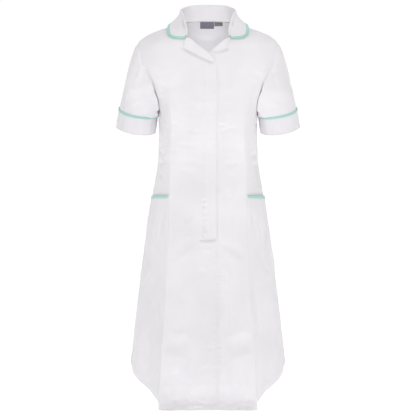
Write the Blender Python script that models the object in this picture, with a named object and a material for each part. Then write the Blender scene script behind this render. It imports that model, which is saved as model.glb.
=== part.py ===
"""Nurse uniform dress in white cloth with mint trims, filled out as it is worn.

The body is one smooth surface worked out from horizontal sections. A place on
it is (s, z): s runs round the section and z is the height. s is 0 at the
centre front, 0.5 at the front seam, 1 at the side or on the shoulder line,
1.5 at the back seam and 2 at the centre back. The wearer's left has s above
zero and lies at +X, the wearer's right has s below zero and lies at -X.
Every panel is a wall of cloth cut out of that surface.
Sizes in this file are in millimetres, the solids are made in metres.
"""
import math
from functools import lru_cache

import bmesh
import bpy
from mathutils import Vector

MM = 0.001

# Cloth and joints
CLOTH = 1.2
SEAM_GAP = 0.3
DOUBLE_CLOTH = 1.8

# Named heights
NECK_POINT_Z = 19.0
NAPE_Z = 24.0
SHOULDER_TIP_Z = -37.0
BREAK_Z = -88.0
UNDERARM_Z = -191.0
SEAM_TOP_Z = -129.0
WAIST_Z = -345.0
MOUTH_INNER_Z = -440.0
MOUTH_OUTER_Z = -459.0
POCKET_FLOOR_Z = -600.0
SHOULDER_TIP_X = 192.0
NECK_POINT_X = 71.0

# Front overlap: the wearer's right front lies over the left one
EDGE_X = 24.0
OVERLAP_LIFT = 2.2
OVERLAP_FADE = (28.0, 75.0)

# Fly placket on the right front
FLY_INNER_X = 12.0
FLY_OUTER_X = -22.5
FLY_TOP_Z = -92.0
FLY_FOOT_Z = -559.0
FLY_GAPE = 2.6

# Pocket front
POCKET_GAPE = 3.2
POCKET_TRIM_WIDTH = 7.5

# Collar
COLLAR_WALL = 1.4
ROLL_RADIUS = 2.6
TRIM_WIDTH = 6.4
TRIM_DEPTH = 2.6

# Cuffs
CUFF_TRIM_WIDTH = 6.0
CUFF_TRIM_DEPTH = 2.2

# Horizontal sections of the body from the top down. The turns are degrees:
# how far the line has swung back when it comes to a seam, and when it leaves.
COLUMNS = ("z", "half_width", "front", "seam_x", "seam_y", "turn_in", "turn_out",
           "back", "back_x", "back_y", "back_turn")
SECTIONS = {
    "over_neck": (34, 44, 50, 30, 42, 28, 28, 58, 28, 51, 25),
    "neck_point": (19, 71, 56, 51, 42, 34, 34, 64, 48, 51, 32),
    "shoulder": (0, 131, 68, 98, 49, 34, 34, 76, 88, 60, 30),
    "shoulder_out": (-18, 172, 83, 132, 58, 38, 38, 86, 120, 66, 34),
    "shoulder_tip": (-37, 192, 93, 150, 62, 42, 42, 94, 140, 70, 38),
    "upper_chest": (-62, 198, 103, 158, 64, 44, 44, 101, 150, 72, 42),
    "chest": (-95, 199, 113, 162, 66, 46, 46, 107, 156, 68, 46),
    "armhole_low": (-129, 187, 124, 160, 62, 50, 50, 109, 158, 58, 52),
    "over_bust": (-150, 168, 131, 136, 84, 36, 48, 108, 134, 72, 44),
    "bust": (-170, 153, 136, 119, 100, 26, 52, 107, 115, 82, 34),
    "underarm": (-191, 141, 139, 109, 110, 18, 56, 106, 103, 87, 28),
    "under_bust": (-220, 137.5, 139, 102, 115, 13, 58, 102, 95, 87, 24),
    "midriff": (-265, 136, 131, 100, 111, 12, 58, 93, 91, 79, 22),
    "waist": (-345, 138, 112, 103.5, 97, 12, 55, 79, 89, 65, 22),
    "high_hip": (-442, 153, 122, 106, 108, 12, 50, 106, 93, 91, 24),
    "hip": (-566, 174, 134, 109, 120, 10, 48, 118, 99, 103, 24),
    "thigh": (-724, 195, 148, 117.5, 136, 8, 54, 124, 106, 111, 24),
    "knee": (-860, 212.5, 162, 127.5, 152, 7, 66, 130, 113, 118, 24),
    "calf": (-945, 221, 171, 132, 164, 5, 78, 134, 118, 123, 26),
    "hem": (-1030, 225, 181, 136, 176, 4, 88, 138, 123, 127, 28),
}

# Height of the hem round the section
HEM = {"s": (0, 0.5, 0.56, 0.625, 0.75, 0.875, 1.0, 1.13, 1.26, 1.5, 2.0),
       "z": (-1019, -1022, -1004, -1001, -982, -958, -943, -960, -983, -1008, -1016)}

# Rows of the panels: heights at the front and back seams, hem first
ROWS = (-1022, -985, -945, -900, -850, -795, -735, -670, POCKET_FLOOR_Z, -545, -490,
        MOUTH_INNER_Z, -400, -365, -335, -300, -268, -240, -215, -193, -173, -156, -142, SEAM_TOP_Z)
POCKET_FLOOR_ROW = 8
MOUTH_ROW = 11
HEM_ROWS = 6

# Edges drawn from the front: distance from the centre and height
ARMHOLE_UPPER = ((192, -37), (188.5, -44.5), (184.5, -56), (180.5, -80), (175, -104), (160, -129))
ARMHOLE_LOWER = ((160, -129), (153.5, -142), (146, -166), (141, -191))
ROLL_LINE = ((-EDGE_X, BREAK_Z), (4, -59), (24, -44.5), (40, -31.5), (58.5, -19.5))
NECKLINE = ((58.5, -19.5), (65, -7), (69.5, 4), (71.5, 12), (NECK_POINT_X, NECK_POINT_Z))
UPPER_STEPS = 7
LOWER_STEPS = 5

# Largest folds of the skirt: place round the section, half width, height where
# the fold starts, height where it is deepest, depth (above zero stands out)
FOLDS = {
    "right_side_ridge": (-0.86, 0.10, -560, -990, 4.0),
    "right_side_trough": (-0.70, 0.09, -600, -985, -5.0),
    "left_side_ridge": (0.84, 0.11, -590, -990, 4.5),
    "left_side_trough": (0.68, 0.08, -620, -985, -4.5),
    "front_trough_right": (-0.27, 0.09, -760, -1015, -3.5),
    "front_trough_left": (0.31, 0.08, -800, -1015, -3.0),
    "back_ridge_middle": (2.0, 0.13, -520, -1010, 6.0),
    "back_ridge_right": (-1.62, 0.12, -500, -1000, 5.0),
    "back_trough_right": (-1.80, 0.10, -540, -1005, -5.0),
    "back_ridge_left": (1.60, 0.13, -520, -1000, 5.5),
    "back_trough_left": (1.81, 0.09, -500, -1005, -5.5),
    "side_back_right": (-1.22, 0.12, -560, -980, -4.5),
    "side_back_left": (1.24, 0.12, -540, -980, -4.0),
}

# Sleeve rings for the wearer's left: centre, half width, half depth, rise of
# the outer end over the inner one and of the back over the front
CUFF_SEAM = {"x": 194.0, "z": -224.0, "half_width": 51.0, "half_depth": 50.0,
             "rise_out": 8.5, "rise_back": 10.5}
SLEEVE_HEM = {"x": 199.5, "z": -271.0, "half_width": 54.5, "half_depth": 53.0,
              "rise_out": 8.5, "rise_back": 11.0}
# Pull of the sleeve's lengthwise lines at the armhole and at the cuff
SLEEVE_PULL = {
    "top": ((19, 0, -17), (-12, 0, 52)),
    "front": ((13, -9, -26), (-5, -4, 44)),
    "under": ((1.5, 0, -14), (-0.5, 0, 15)),
    "back": ((13, 9, -26), (-5, 4, 44)),
}
SLEEVE_ROWS = 9

# Collar from the centre back to its front end: the roll at the top, and the
# outer edge as a place over the body with the lift of the cloth there
COLLAR = {
    "w": (0.0, 0.2, 0.38, 0.5, 0.62, 0.75, 0.88, 1.0),
    "roll_x": (0, 40, 66, 74, 68.5, 62.5, 57, 57.5),
    "roll_y": (71, 62, 34, 2, -22, -47, -77, -91),
    "roll_z": (69, 67.5, 61, 54, 43, 26, 1, -13),
    "edge_x": (0, 48, 86, 99.5, 101, 100.5, 98.5, 90),
    "edge_z": (8, 8, 8, 9.5, 2, -6, -13, -18),
    "edge_lift": (12, 12, 10.5, 9, 6.5, 5, 4.2, 4),
}
COLLAR_STEPS = 22

# Reveres from the break point to the notch: roll line and outer edge
RIGHT_REVERE = {
    "roll_x": (-19, -8, 4, 14.5, 24, 32.5, 40, 49.5, 56.5),
    "roll_z": (-83, -69.5, -59, -51.5, -44.5, -38, -31.5, -25, -21),
    "edge_x": (-17, -1, 18, 34, 46, 56, 63.5, 63.8, 62.8),
    "edge_z": (-86.5, -80, -71.5, -63.5, -57.5, -52, -47, -36, -26),
}
LEFT_REVERE = {
    "roll_x": (11, 17.5, 24, 32.5, 40, 49.5, 56.5),
    "roll_z": (-54, -49.5, -44.5, -38, -31.5, -25, -21),
    "edge_x": (14, 24, 35, 45, 52, 55, 59.5),
    "edge_z": (-58.5, -56.5, -53.5, -50, -46.5, -36, -25),
}
# Section of a revere: distance from the roll line (whole numbers of mm, or a
# share of the width), lift of the face that shows, lift of the face below
REVERE_FOLD = ((-0.45, -1.1, -0.1), (-2.9, 0.3, 0.6), (-2.9, 2.4, 1.7), (0.2, 4.3, 2.9))
REVERE_LEAF = ((0.35, 3.8, 2.5), (0.7, 2.7, 1.4), (1.0, 1.7, 0.4))

# Labels inside the back neck: from, to across (+X is the wearer's left), top, foot
NECK_LABEL = (-22.0, 17.0, 20.5, 3.0)
SIZE_TAB = (18.0, 41.0, 20.5, 10.0)
LABEL_WALL = 1.0

FINISHES = {
    "white_cloth": ((0.86, 0.86, 0.89), 0.85),
    "mint_trim": ((0.33, 0.70, 0.56), 0.80),
    "label_grey": ((0.22, 0.23, 0.25), 0.75),
    "label_black": ((0.03, 0.03, 0.035), 0.75),
}


def blend(stations, values, at):
    """Smooth value between named stations, never passing their values."""
    if at <= stations[0]:
        return float(values[0])
    if at >= stations[-1]:
        return float(values[-1])
    i = 0
    while stations[i + 1] < at:
        i += 1

    def slope(k):
        if k == 0 or k == len(stations) - 1:
            return None
        before = (values[k] - values[k - 1]) / (stations[k] - stations[k - 1])
        after = (values[k + 1] - values[k]) / (stations[k + 1] - stations[k])
        if before * after <= 0:
            return 0.0
        return 2 * before * after / (before + after)

    width = stations[i + 1] - stations[i]
    chord = (values[i + 1] - values[i]) / width
    start = slope(i)
    end = slope(i + 1)
    start = chord if start is None else start
    end = chord if end is None else end
    u = (at - stations[i]) / width
    return ((2 * u**3 - 3 * u**2 + 1) * values[i] + (u**3 - 2 * u**2 + u) * width * start
            + (3 * u**2 - 2 * u**3) * values[i + 1] + (u**3 - u**2) * width * end)


def ease(u):
    """Smooth step from 0 to 1."""
    u = min(max(u, 0.0), 1.0)
    return u * u * (3 - 2 * u)


def mix(a, b, u):
    return a + (b - a) * u


SECTION_Z = tuple(sorted(row[0] for row in SECTIONS.values()))
SECTION_TABLE = {name: tuple(row[i] for row in sorted(SECTIONS.values()))
                 for i, name in enumerate(COLUMNS)}


@lru_cache(maxsize=None)
def section_row(z):
    return {name: blend(SECTION_Z, values, z) for name, values in SECTION_TABLE.items()}


def hermite(start, start_way, end, end_way, u):
    """Point of a smooth line between two plan points with given ways."""
    reach = math.dist(start, end)
    h = (2 * u**3 - 3 * u**2 + 1, (u**3 - 2 * u**2 + u) * reach,
         3 * u**2 - 2 * u**3, (u**3 - u**2) * reach)
    return tuple(h[0] * a + h[1] * b + h[2] * c + h[3] * d
                 for a, b, c, d in zip(start, start_way, end, end_way))


def way(turn):
    return (math.cos(math.radians(turn)), math.sin(math.radians(turn)))


@lru_cache(maxsize=None)
def plan(t, z):
    """Plan point of the wearer's left half at t from 0 to 2."""
    row = section_row(z)
    seam = (row["seam_x"], -row["seam_y"])
    side = (row["half_width"], 0.0)
    back = (row["back_x"], row["back_y"])
    swing = way(row["back_turn"])
    if t <= 0.5:
        return hermite((0.0, -row["front"]), (1.0, 0.0), seam, way(row["turn_in"]), 2 * t)
    if t <= 1.0:
        return hermite(seam, way(row["turn_out"]), side, (0.0, 1.0), 2 * t - 1)
    if t <= 1.5:
        return hermite(side, (0.0, 1.0), back, (-swing[0], swing[1]), 2 * t - 2)
    return hermite(back, (-swing[0], swing[1]), (0.0, row["back"]), (-1.0, 0.0), 2 * t - 3)


def fold_depth(s, z):
    """How far the folds of the skirt stand out at a place."""
    depth = 0.0
    for middle, half, top, deepest, height in FOLDS.values():
        if z >= top:
            continue
        gap = abs(s - middle)
        gap = min(gap, 4 - gap) / half
        if gap < 1:
            depth += height * (1 - gap * gap) ** 2 * ease((top - z) / (top - deepest))
    return depth


def body(s, z):
    """Point of the body surface."""
    if abs(s) > 2:
        s -= math.copysign(4, s)
    x, y = plan(abs(s), z)
    grow = 1 + fold_depth(s, z) / math.hypot(x, y)
    return Vector((math.copysign(x, s) * grow, y * grow, z))


def place(s, z, lift=0.0):
    """Point lifted off the body surface, mitred where the surface has a crease."""
    here = body(s, z)
    step = 0.012
    round_way = (body(s + step, z) - here).normalized() + (here - body(s - step, z)).normalized()
    up_way = body(s, z + 2) - body(s, z - 2)
    out = round_way.cross(up_way).normalized()
    mitre = min(2 / max(round_way.length, 0.1), 1.35)
    return here + out * lift * mitre


def s_at(x, z, behind=False):
    """Place round the section, on the wearer's left half, with the given x."""
    low, high = (1.0, 2.0) if behind else (0.0, 1.0)
    sign = -1 if x < 0 and not behind else 1
    for _ in range(34):
        middle = (low + high) / 2
        if (plan(middle, z)[0] < abs(x)) != behind:
            low = middle
        else:
            high = middle
    return sign * (low + high) / 2


def even_path(points, steps):
    """Even steps along a smooth line through drawn points."""
    lengths = [0.0]
    for a, b in zip(points, points[1:]):
        lengths.append(lengths[-1] + math.dist(a, b))
    return [tuple(blend(lengths, [p[i] for p in points], lengths[-1] * k / steps) for i in (0, 1))
            for k in range(steps + 1)]


def armhole(behind=False):
    """Armhole from the shoulder tip to the underarm, as places on the body."""
    drawn = even_path(ARMHOLE_UPPER, UPPER_STEPS) + even_path(ARMHOLE_LOWER, LOWER_STEPS)[1:]
    line = [[s_at(x, z, behind), z] for x, z in drawn]
    line[0][0] = 1.0
    line[-1][0] = 1.0
    line[UPPER_STEPS][0] = 1.5 if behind else 0.5
    return line


def shoulder_z(x):
    """Height of the shoulder line at a distance from the centre."""
    low, high = SHOULDER_TIP_Z, NECK_POINT_Z
    for _ in range(30):
        middle = (low + high) / 2
        if section_row(middle)["half_width"] > x:
            low = middle
        else:
            high = middle
    return (low + high) / 2


def shoulder(steps):
    """Shoulder line from the neck point to the tip."""
    return [[1.0, shoulder_z(mix(NECK_POINT_X, SHOULDER_TIP_X, k / steps))]
            for k in range(steps + 1)]


def row_z(k, t):
    """Height of a row of the panels at a place round the section."""
    z = ROWS[k]
    if k < HEM_ROWS:
        z += (blend(HEM["s"], HEM["z"], t) - ROWS[0]) * (1 - k / HEM_ROWS) ** 2
    if z > WAIST_Z:
        if t <= 0.5:
            shift = mix(BREAK_Z - SEAM_TOP_Z, 0, 2 * t)
        else:
            shift = (UNDERARM_Z - SEAM_TOP_Z) * max(0.0, 1 - abs(2 * t - 2))
        z += shift * ((ROWS[k] - WAIST_Z) / (SEAM_TOP_Z - WAIST_Z)) ** 2
    return z


def patch(bottom, top, left, right):
    """Rows of places spread evenly between four edges."""
    rows = []
    for k, (a, b) in enumerate(zip(left, right)):
        v = k / (len(left) - 1)
        row = []
        for i, (c, d) in enumerate(zip(bottom, top)):
            u = i / (len(bottom) - 1)
            row.append(tuple(
                mix(a[n], b[n], u) + mix(c[n], d[n], v)
                - mix(mix(left[0][n], right[0][n], u), mix(left[-1][n], right[-1][n], u), v)
                for n in (0, 1)))
        rows.append(row)
    return rows


def front_places():
    """Half front from its free edge to the front seam, as for the wearer's left."""
    rows = []
    for k in range(len(ROWS)):
        free = row_z(k, 0.0)
        over = s_at(EDGE_X, free)
        columns = [-over, 0.0, over] + [mix(over, 0.5, i / 4) for i in range(1, 5)]
        rows.append([(s, row_z(k, abs(s)) if s > over else free) for s in columns])
    neck = even_path(ROLL_LINE, 3)[:-1] + even_path(NECKLINE, 4)
    left = [(s_at(x, z), z) for x, z in neck]
    left[-1] = (1.0, NECK_POINT_Z)
    right = armhole()[UPPER_STEPS::-1]
    return rows + patch(rows[-1], shoulder(6), left, right)[1:]


def side_places(first, last, columns, behind=False):
    """Side panel between a seam and the side, up to the armhole where it gets there."""
    seam = 1.5 if behind else 0.5
    rows = []
    for k in range(first, last + 1):
        row = [mix(seam, 1.0, i / columns) for i in range(columns + 1)]
        rows.append([(t, row_z(k, t)) for t in row])
    if last == len(ROWS) - 1:
        top = armhole(behind)[UPPER_STEPS:]
        change = [(at - t, height - z) for (at, height), (t, z) in zip(top, rows[-1])]
        for k in range(8):
            share = (1 - k / 8) ** 2
            rows[-1 - k] = [(t + share * dt, z + share * dz)
                            for (t, z), (dt, dz) in zip(rows[-1 - k], change)]
    return rows


def back_places():
    """Half centre back from the back seam or armhole to the middle."""
    rows = [[(mix(1.5, 2.0, i / 9), row_z(k, mix(1.5, 2.0, i / 9))) for i in range(10)]
            for k in range(len(ROWS))]
    neck = [(mix(1.0, 2.0, i / 5), mix(NECK_POINT_Z, NAPE_Z, ease(i / 5))) for i in range(6)]
    top = shoulder(4)[::-1] + neck[1:]
    right = [(2.0, mix(ROWS[-1], NAPE_Z, k / UPPER_STEPS)) for k in range(UPPER_STEPS + 1)]
    left = armhole(True)[UPPER_STEPS::-1]
    return rows + patch(rows[-1], top, left, right)[1:]


def lifted(places, side, lift):
    """Points over a grid of places; lift is a number or a function of (s, z)."""
    amount = lift if callable(lift) else lambda s, z: lift
    return [[place(side * s, z, amount(s, z)) for s, z in row] for row in places]


def trimmed(grid, sides):
    """Grid drawn in by half a seam gap along the named sides."""
    grid = [list(row) for row in grid]
    half = SEAM_GAP / 2

    def draw_in(point, toward):
        return point + (toward - point).normalized() * half

    if "left" in sides:
        for row in grid:
            row[0] = draw_in(row[0], row[1])
    if "right" in sides:
        for row in grid:
            row[-1] = draw_in(row[-1], row[-2])
    if "foot" in sides:
        grid[0] = [draw_in(a, b) for a, b in zip(grid[0], grid[1])]
    if "top" in sides:
        grid[-1] = [draw_in(a, b) for a, b in zip(grid[-1], grid[-2])]
    return grid


def finish_material(name):
    colour, roughness = FINISHES[name]
    material = bpy.data.materials.new(name)
    material.use_nodes = True
    shader = material.node_tree.nodes["Principled BSDF"]
    shader.inputs["Base Color"].default_value = (*colour, 1.0)
    shader.inputs["Roughness"].default_value = roughness
    shader.inputs["Metallic"].default_value = 0.0
    return material


def solid(name, points, faces, finish):
    """One named object; faces are (corners, smooth)."""
    mesh = bpy.data.meshes.new(name)
    work = bmesh.new()
    corners = [work.verts.new(p * MM) for p in points]
    for ids, smooth in faces:
        face = work.faces.new([corners[i] for i in ids])
        face.smooth = smooth
    bmesh.ops.recalc_face_normals(work, faces=work.faces)
    work.to_mesh(mesh)
    work.free()
    mesh.materials.append(finish_material(finish))
    thing = bpy.data.objects.new(name, mesh)
    bpy.context.collection.objects.link(thing)
    return thing


def wall(name, outer, inner, finish, ring=False):
    """Closed wall between two grids of points; a ring closes on itself."""
    rows = len(outer)
    cols = len(outer[0])
    total = rows * cols
    points = [p for row in outer for p in row] + [p for row in inner for p in row]
    faces = []
    spans = cols if ring else cols - 1
    for k in range(rows - 1):
        for i in range(spans):
            j = (i + 1) % cols
            quad = (k * cols + i, k * cols + j, (k + 1) * cols + j, (k + 1) * cols + i)
            faces.append((quad, True))
            faces.append((tuple(total + q for q in reversed(quad)), True))
    border = [[k * cols + i for i in range(cols)] for k in (0, rows - 1)]
    if not ring:
        border += [[k * cols + i for k in range(rows)] for i in (0, cols - 1)]
    for line in border:
        closed = line + line[:1] if ring else line
        for a, b in zip(closed, closed[1:]):
            faces.append(((a, b, total + b, total + a), False))
    return solid(name, points, faces, finish)


def panel(name, places, side, lift=0.0, thickness=CLOTH, seams=(), finish="white_cloth"):
    """Cloth panel cut out of the body surface."""
    under = (lambda s, z: lift(s, z) - thickness) if callable(lift) else lift - thickness
    outer = trimmed(lifted(places, side, lift), seams)
    inner = trimmed(lifted(places, side, under), seams)
    return wall(name, outer, inner, finish)


def grid_outs(grid, ring=False):
    """Unit ways out of a grid of points, from its neighbours."""
    rows = len(grid)
    cols = len(grid[0])
    outs = []
    for k in range(rows):
        line = []
        for i in range(cols):
            if ring:
                across = grid[k][(i + 1) % cols] - grid[k][i - 1]
            else:
                across = grid[k][min(i + 1, cols - 1)] - grid[k][max(i - 1, 0)]
            along = grid[min(k + 1, rows - 1)][i] - grid[max(k - 1, 0)][i]
            line.append(across.cross(along).normalized())
        outs.append(line)
    return outs


def offset(grid, outs, amount):
    return [[p + n * amount for p, n in zip(row, out)] for row, out in zip(grid, outs)]


def tube(name, middle, wide, thick, width, depth, finish, ring=False, corners=6):
    """Flattened round tube along a line of points with its two cross ways."""
    points = []
    count = len(middle)
    for p, w, n in zip(middle, wide, thick):
        for c in range(corners):
            turn = 2 * math.pi * c / corners
            points.append(p + w * math.cos(turn) * width / 2 + n * math.sin(turn) * depth / 2)
    faces = []
    for k in range(count if ring else count - 1):
        following = (k + 1) % count
        for c in range(corners):
            e = (c + 1) % corners
            faces.append(((k * corners + c, k * corners + e, following * corners + e,
                           following * corners + c), True))
    if not ring:
        faces.append((tuple(range(corners)), False))
        faces.append((tuple((count - 1) * corners + c for c in range(corners)), False))
    return solid(name, points, faces, finish)


def overlap_lift(s, z):
    """Lift of the wearer's right front where it lies over the left one."""
    x = plan(abs(s), z)[0] * (1 if s > 0 else -1)
    near, far = OVERLAP_FADE
    return OVERLAP_LIFT * (1 - ease((x - near) / (far - near)))


def build_fronts():
    places = front_places()
    for name, side, lift in (("centre_front_right", -1, overlap_lift), ("centre_front_left", 1, 0.0)):
        panel(name, places, side, lift, seams=("right", "top"))


def build_fly():
    """Placket strip over the front edge, its foot standing a little open."""
    rows = []
    levels = [row_z(k, 0.0) for k in range(len(ROWS))]
    for z in [FLY_FOOT_Z] + [z for z in levels if FLY_FOOT_Z + 5 < z < FLY_TOP_Z - 5] + [FLY_TOP_Z]:
        rows.append([(s_at(FLY_INNER_X, z), z), (0.0, z), (s_at(FLY_OUTER_X, z), z)])
    rest = OVERLAP_LIFT + SEAM_GAP + CLOTH

    def lift(s, z):
        return rest + FLY_GAPE * ease((FLY_FOOT_Z + 60 - z) / 60)

    panel("fly_placket", rows, -1, lift)


def pocket_mouth_z(t):
    return mix(MOUTH_INNER_Z, MOUTH_OUTER_Z, 2 * t - 1)


def pocket_lift(s, z):
    """Lift of the pocket front: sewn flat at its sides, gaping at the mouth."""
    rest = SEAM_GAP + CLOTH
    middle = math.sin(math.pi * min(max(2 * s - 1, 0.0), 1.0)) ** 0.6
    gape = POCKET_GAPE * middle * ease((z - POCKET_FLOOR_Z) / (MOUTH_OUTER_Z - POCKET_FLOOR_Z))
    flat = ease((POCKET_FLOOR_Z - 12 - z) / 70)
    return (rest + gape) * (1 - flat)


def pocket_places():
    rows = side_places(0, MOUTH_ROW, 2 * LOWER_STEPS)
    for back, share in ((1, 1.0), (2, 0.5)):
        rows[-back] = [(t, z + share * (pocket_mouth_z(t) - MOUTH_INNER_Z)) for t, z in rows[-back]]
    return rows


def build_sides():
    front = side_places(POCKET_FLOOR_ROW, len(ROWS) - 1, LOWER_STEPS)
    lower = pocket_places()
    behind = side_places(0, len(ROWS) - 1, LOWER_STEPS, behind=True)
    for word, side in (("right", -1), ("left", 1)):
        panel(f"side_front_{word}", front, side, seams=("left", "right", "top"))
        panel(f"pocket_skirt_{word}", lower, side, pocket_lift, seams=("left", "right"))
        panel(f"side_back_{word}", behind, side, seams=("left", "right", "top"))
        trim = [[(mix(0.512, 0.988, i / 10), pocket_mouth_z(mix(0.512, 0.988, i / 10)) - down)
                 for i in range(11)] for down in (POCKET_TRIM_WIDTH, POCKET_TRIM_WIDTH / 2, -0.4)]

        def trim_lift(s, z):
            mouth = pocket_mouth_z(s)
            crown = 0.5 * math.sin(math.pi * min(max((mouth - z) / POCKET_TRIM_WIDTH, 0), 1))
            return pocket_lift(s, min(z, mouth)) + SEAM_GAP + CLOTH + crown

        panel(f"pocket_trim_{word}", trim, side, trim_lift, finish="mint_trim")


def build_back():
    half = back_places()
    full = [[(s, z) for s, z in row] + [(-s, z) for s, z in row[-2::-1]] for row in half]
    panel("centre_back", full, 1, seams=("left", "right", "top"))


def ring_points(ring, side, count):
    """Ring of a sleeve from its outer end over the front to the inner end."""
    points = []
    for k in range(count):
        turn = 2 * math.pi * k / count
        out = math.cos(turn)
        back = -math.sin(turn)
        points.append(Vector((side * (ring["x"] + ring["half_width"] * out),
                              ring["half_depth"] * back,
                              ring["z"] + ring["rise_out"] * out + ring["rise_back"] * back)))
    return points


def sleeve_pull(k, count, end):
    """Pull of the lengthwise line k at the armhole (0) or at the cuff (1)."""
    turn = 2 * math.pi * k / count
    up = math.cos(turn)
    front = math.sin(turn)
    shares = {"top": max(up, 0) ** 2, "under": max(-up, 0) ** 2,
              "front": max(front, 0) ** 2, "back": max(-front, 0) ** 2}
    return sum((Vector(SLEEVE_PULL[name][end]) * share for name, share in shares.items()),
               Vector())


def sleeve_grid(side):
    """Rows of the sleeve from the armhole to the cuff seam."""
    front = [place(s, z) for s, z in armhole()]
    behind = [place(s, z) for s, z in armhole(True)]
    start = [Vector((side * p.x, p.y, p.z)) for p in front + behind[-2:0:-1]]
    count = len(start)
    end = ring_points(CUFF_SEAM, side, count)
    grid = []
    for j in range(SLEEVE_ROWS + 1):
        u = j / SLEEVE_ROWS
        row = []
        for k in range(count):
            pull = sleeve_pull(k, count, 0)
            hold = sleeve_pull(k, count, 1)
            a = start[k]
            d = end[k]
            b = a + Vector((side * pull.x, pull.y, pull.z))
            c = d + Vector((side * hold.x, hold.y, hold.z))
            row.append(a * (1 - u) ** 3 + b * 3 * u * (1 - u) ** 2 + c * 3 * u**2 * (1 - u) + d * u**3)
        grid.append(row)
    return grid


def build_sleeves():
    for word, side in (("right", -1), ("left", 1)):
        grid = sleeve_grid(side)
        turn = side
        outs = grid_outs(grid, ring=True)
        outer = trimmed(grid, ("foot", "top"))
        outer[0] = [p + (q - p).normalized() * SEAM_GAP / 2 for p, q in zip(outer[0], outer[1])]
        wall(f"sleeve_{word}", outer, offset(outer, outs, -CLOTH * turn), "white_cloth", ring=True)

        count = len(grid[0])
        seam = ring_points(CUFF_SEAM, side, count)
        hem = ring_points(SLEEVE_HEM, side, count)
        band = [[a.lerp(b, u) for a, b in zip(seam, hem)] for u in (0.0, 0.33, 0.67, 1.0)]
        outs = grid_outs(band, ring=True)
        band = offset(trimmed(band, ("foot",)), outs, 0.5 * turn)
        wall(f"cuff_{word}", band, offset(band, outs, -DOUBLE_CLOTH * turn), "white_cloth", ring=True)

        thick = [n * turn for n in outs[0]]
        raise_by = 0.5 + SEAM_GAP + CUFF_TRIM_DEPTH / 2
        middle = [p + n * raise_by for p, n in zip(seam, thick)]
        wide = [(a - b).normalized() for a, b in zip(seam, hem)]
        tube(f"cuff_trim_{word}", middle, wide, thick, CUFF_TRIM_WIDTH, CUFF_TRIM_DEPTH,
             "mint_trim", ring=True)


def neck_edge(w):
    """Body point of the neckline: w 0 at the centre back, 1 at the collar's front end."""
    if w <= 0.5:
        u = 1 - 2 * w
        return place(1 + u, mix(NECK_POINT_Z, NAPE_Z, ease(u)))
    lengths = [0.0]
    for a, b in zip(NECKLINE, NECKLINE[1:]):
        lengths.append(lengths[-1] + math.dist(a, b))
    at = lengths[-1] * (2 - 2 * w)
    x = blend(lengths, [p[0] for p in NECKLINE], at)
    z = blend(lengths, [p[1] for p in NECKLINE], at)
    return place(s_at(x, z), z)


def collar_column(w):
    """Middle line of the collar wall: stand, roll and fall, as for the wearer's left."""
    def of(name):
        return blend(COLLAR["w"], COLLAR[name], w)

    def roll(at):
        return Vector(tuple(blend(COLLAR["w"], COLLAR[n], at) for n in ("roll_x", "roll_y", "roll_z")))

    foot = neck_edge(w)
    top = roll(w)
    edge = place(s_at(of("edge_x"), of("edge_z"), behind=w < 0.5), of("edge_z"), of("edge_lift"))
    along = (roll(min(w + 0.03, 1.0)) - roll(max(w - 0.03, 0.0))).normalized()
    if w == 0:
        along = Vector((1, 0, 0))
    across = (edge - foot)
    across = (across - along * across.dot(along)).normalized()
    if w < 0.5:
        flat = along.cross(Vector((0, 0, 1))) * -1
        across = flat.lerp(across, ease(w / 0.5)).normalized()
    up = (top - foot)
    up = (up - along * up.dot(along) - across * up.dot(across)).normalized()
    radius = mix(ROLL_RADIUS, 2.0, w)
    centre = top - up * radius
    inner = centre - across * radius
    lower = foot + (inner - foot).normalized() * (COLLAR_WALL / 2 + SEAM_GAP)
    line = [lower.lerp(inner, u) for u in (0.0, 0.35, 0.7)]
    for step in range(6):
        turn = math.pi * step / 5
        line.append(centre - across * radius * math.cos(turn) + up * radius * math.sin(turn))
    outer = line[-1]
    drop = (edge - outer).length
    bend = outer - up * drop * mix(0.42, 0.22, ease(w))
    for step in range(1, 6):
        u = step / 5
        line.append(outer * (1 - u) ** 2 + bend * 2 * u * (1 - u) + edge * u * u)
    return line


def build_collar():
    half = [collar_column(k / COLLAR_STEPS) for k in range(COLLAR_STEPS + 1)]
    mirrored = [[Vector((-p.x, p.y, p.z)) for p in line] for line in half[:0:-1]]
    grid = mirrored + half
    outs = grid_outs(grid)
    wall("collar", offset(grid, outs, COLLAR_WALL / 2), offset(grid, outs, -COLLAR_WALL / 2),
         "white_cloth")

    first_free = 9
    path = [(0, j) for j in range(first_free, len(grid[0]) - 1)]
    path += [(i, len(grid[0]) - 1) for i in range(len(grid))]
    path += [(len(grid) - 1, j) for j in range(len(grid[0]) - 2, first_free - 1, -1)]
    edge = [grid[i][j] for i, j in path]
    thick = [outs[i][j] for i, j in path]
    middle = []
    wide = []
    for k, (p, n) in enumerate(zip(edge, thick)):
        along = (edge[min(k + 1, len(edge) - 1)] - edge[max(k - 1, 0)]).normalized()
        i, j = path[k]
        inside = grid[min(max(i, 1), len(grid) - 2)][min(j, len(grid[0]) - 2)]
        out = p - inside
        out = (out - along * out.dot(along) - n * out.dot(n)).normalized()
        wide.append(out)
        middle.append(p + out * (SEAM_GAP + 0.5 + TRIM_WIDTH / 2))
    tube("collar_trim", middle, wide, thick, TRIM_WIDTH, TRIM_DEPTH, "mint_trim", corners=6)


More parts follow.
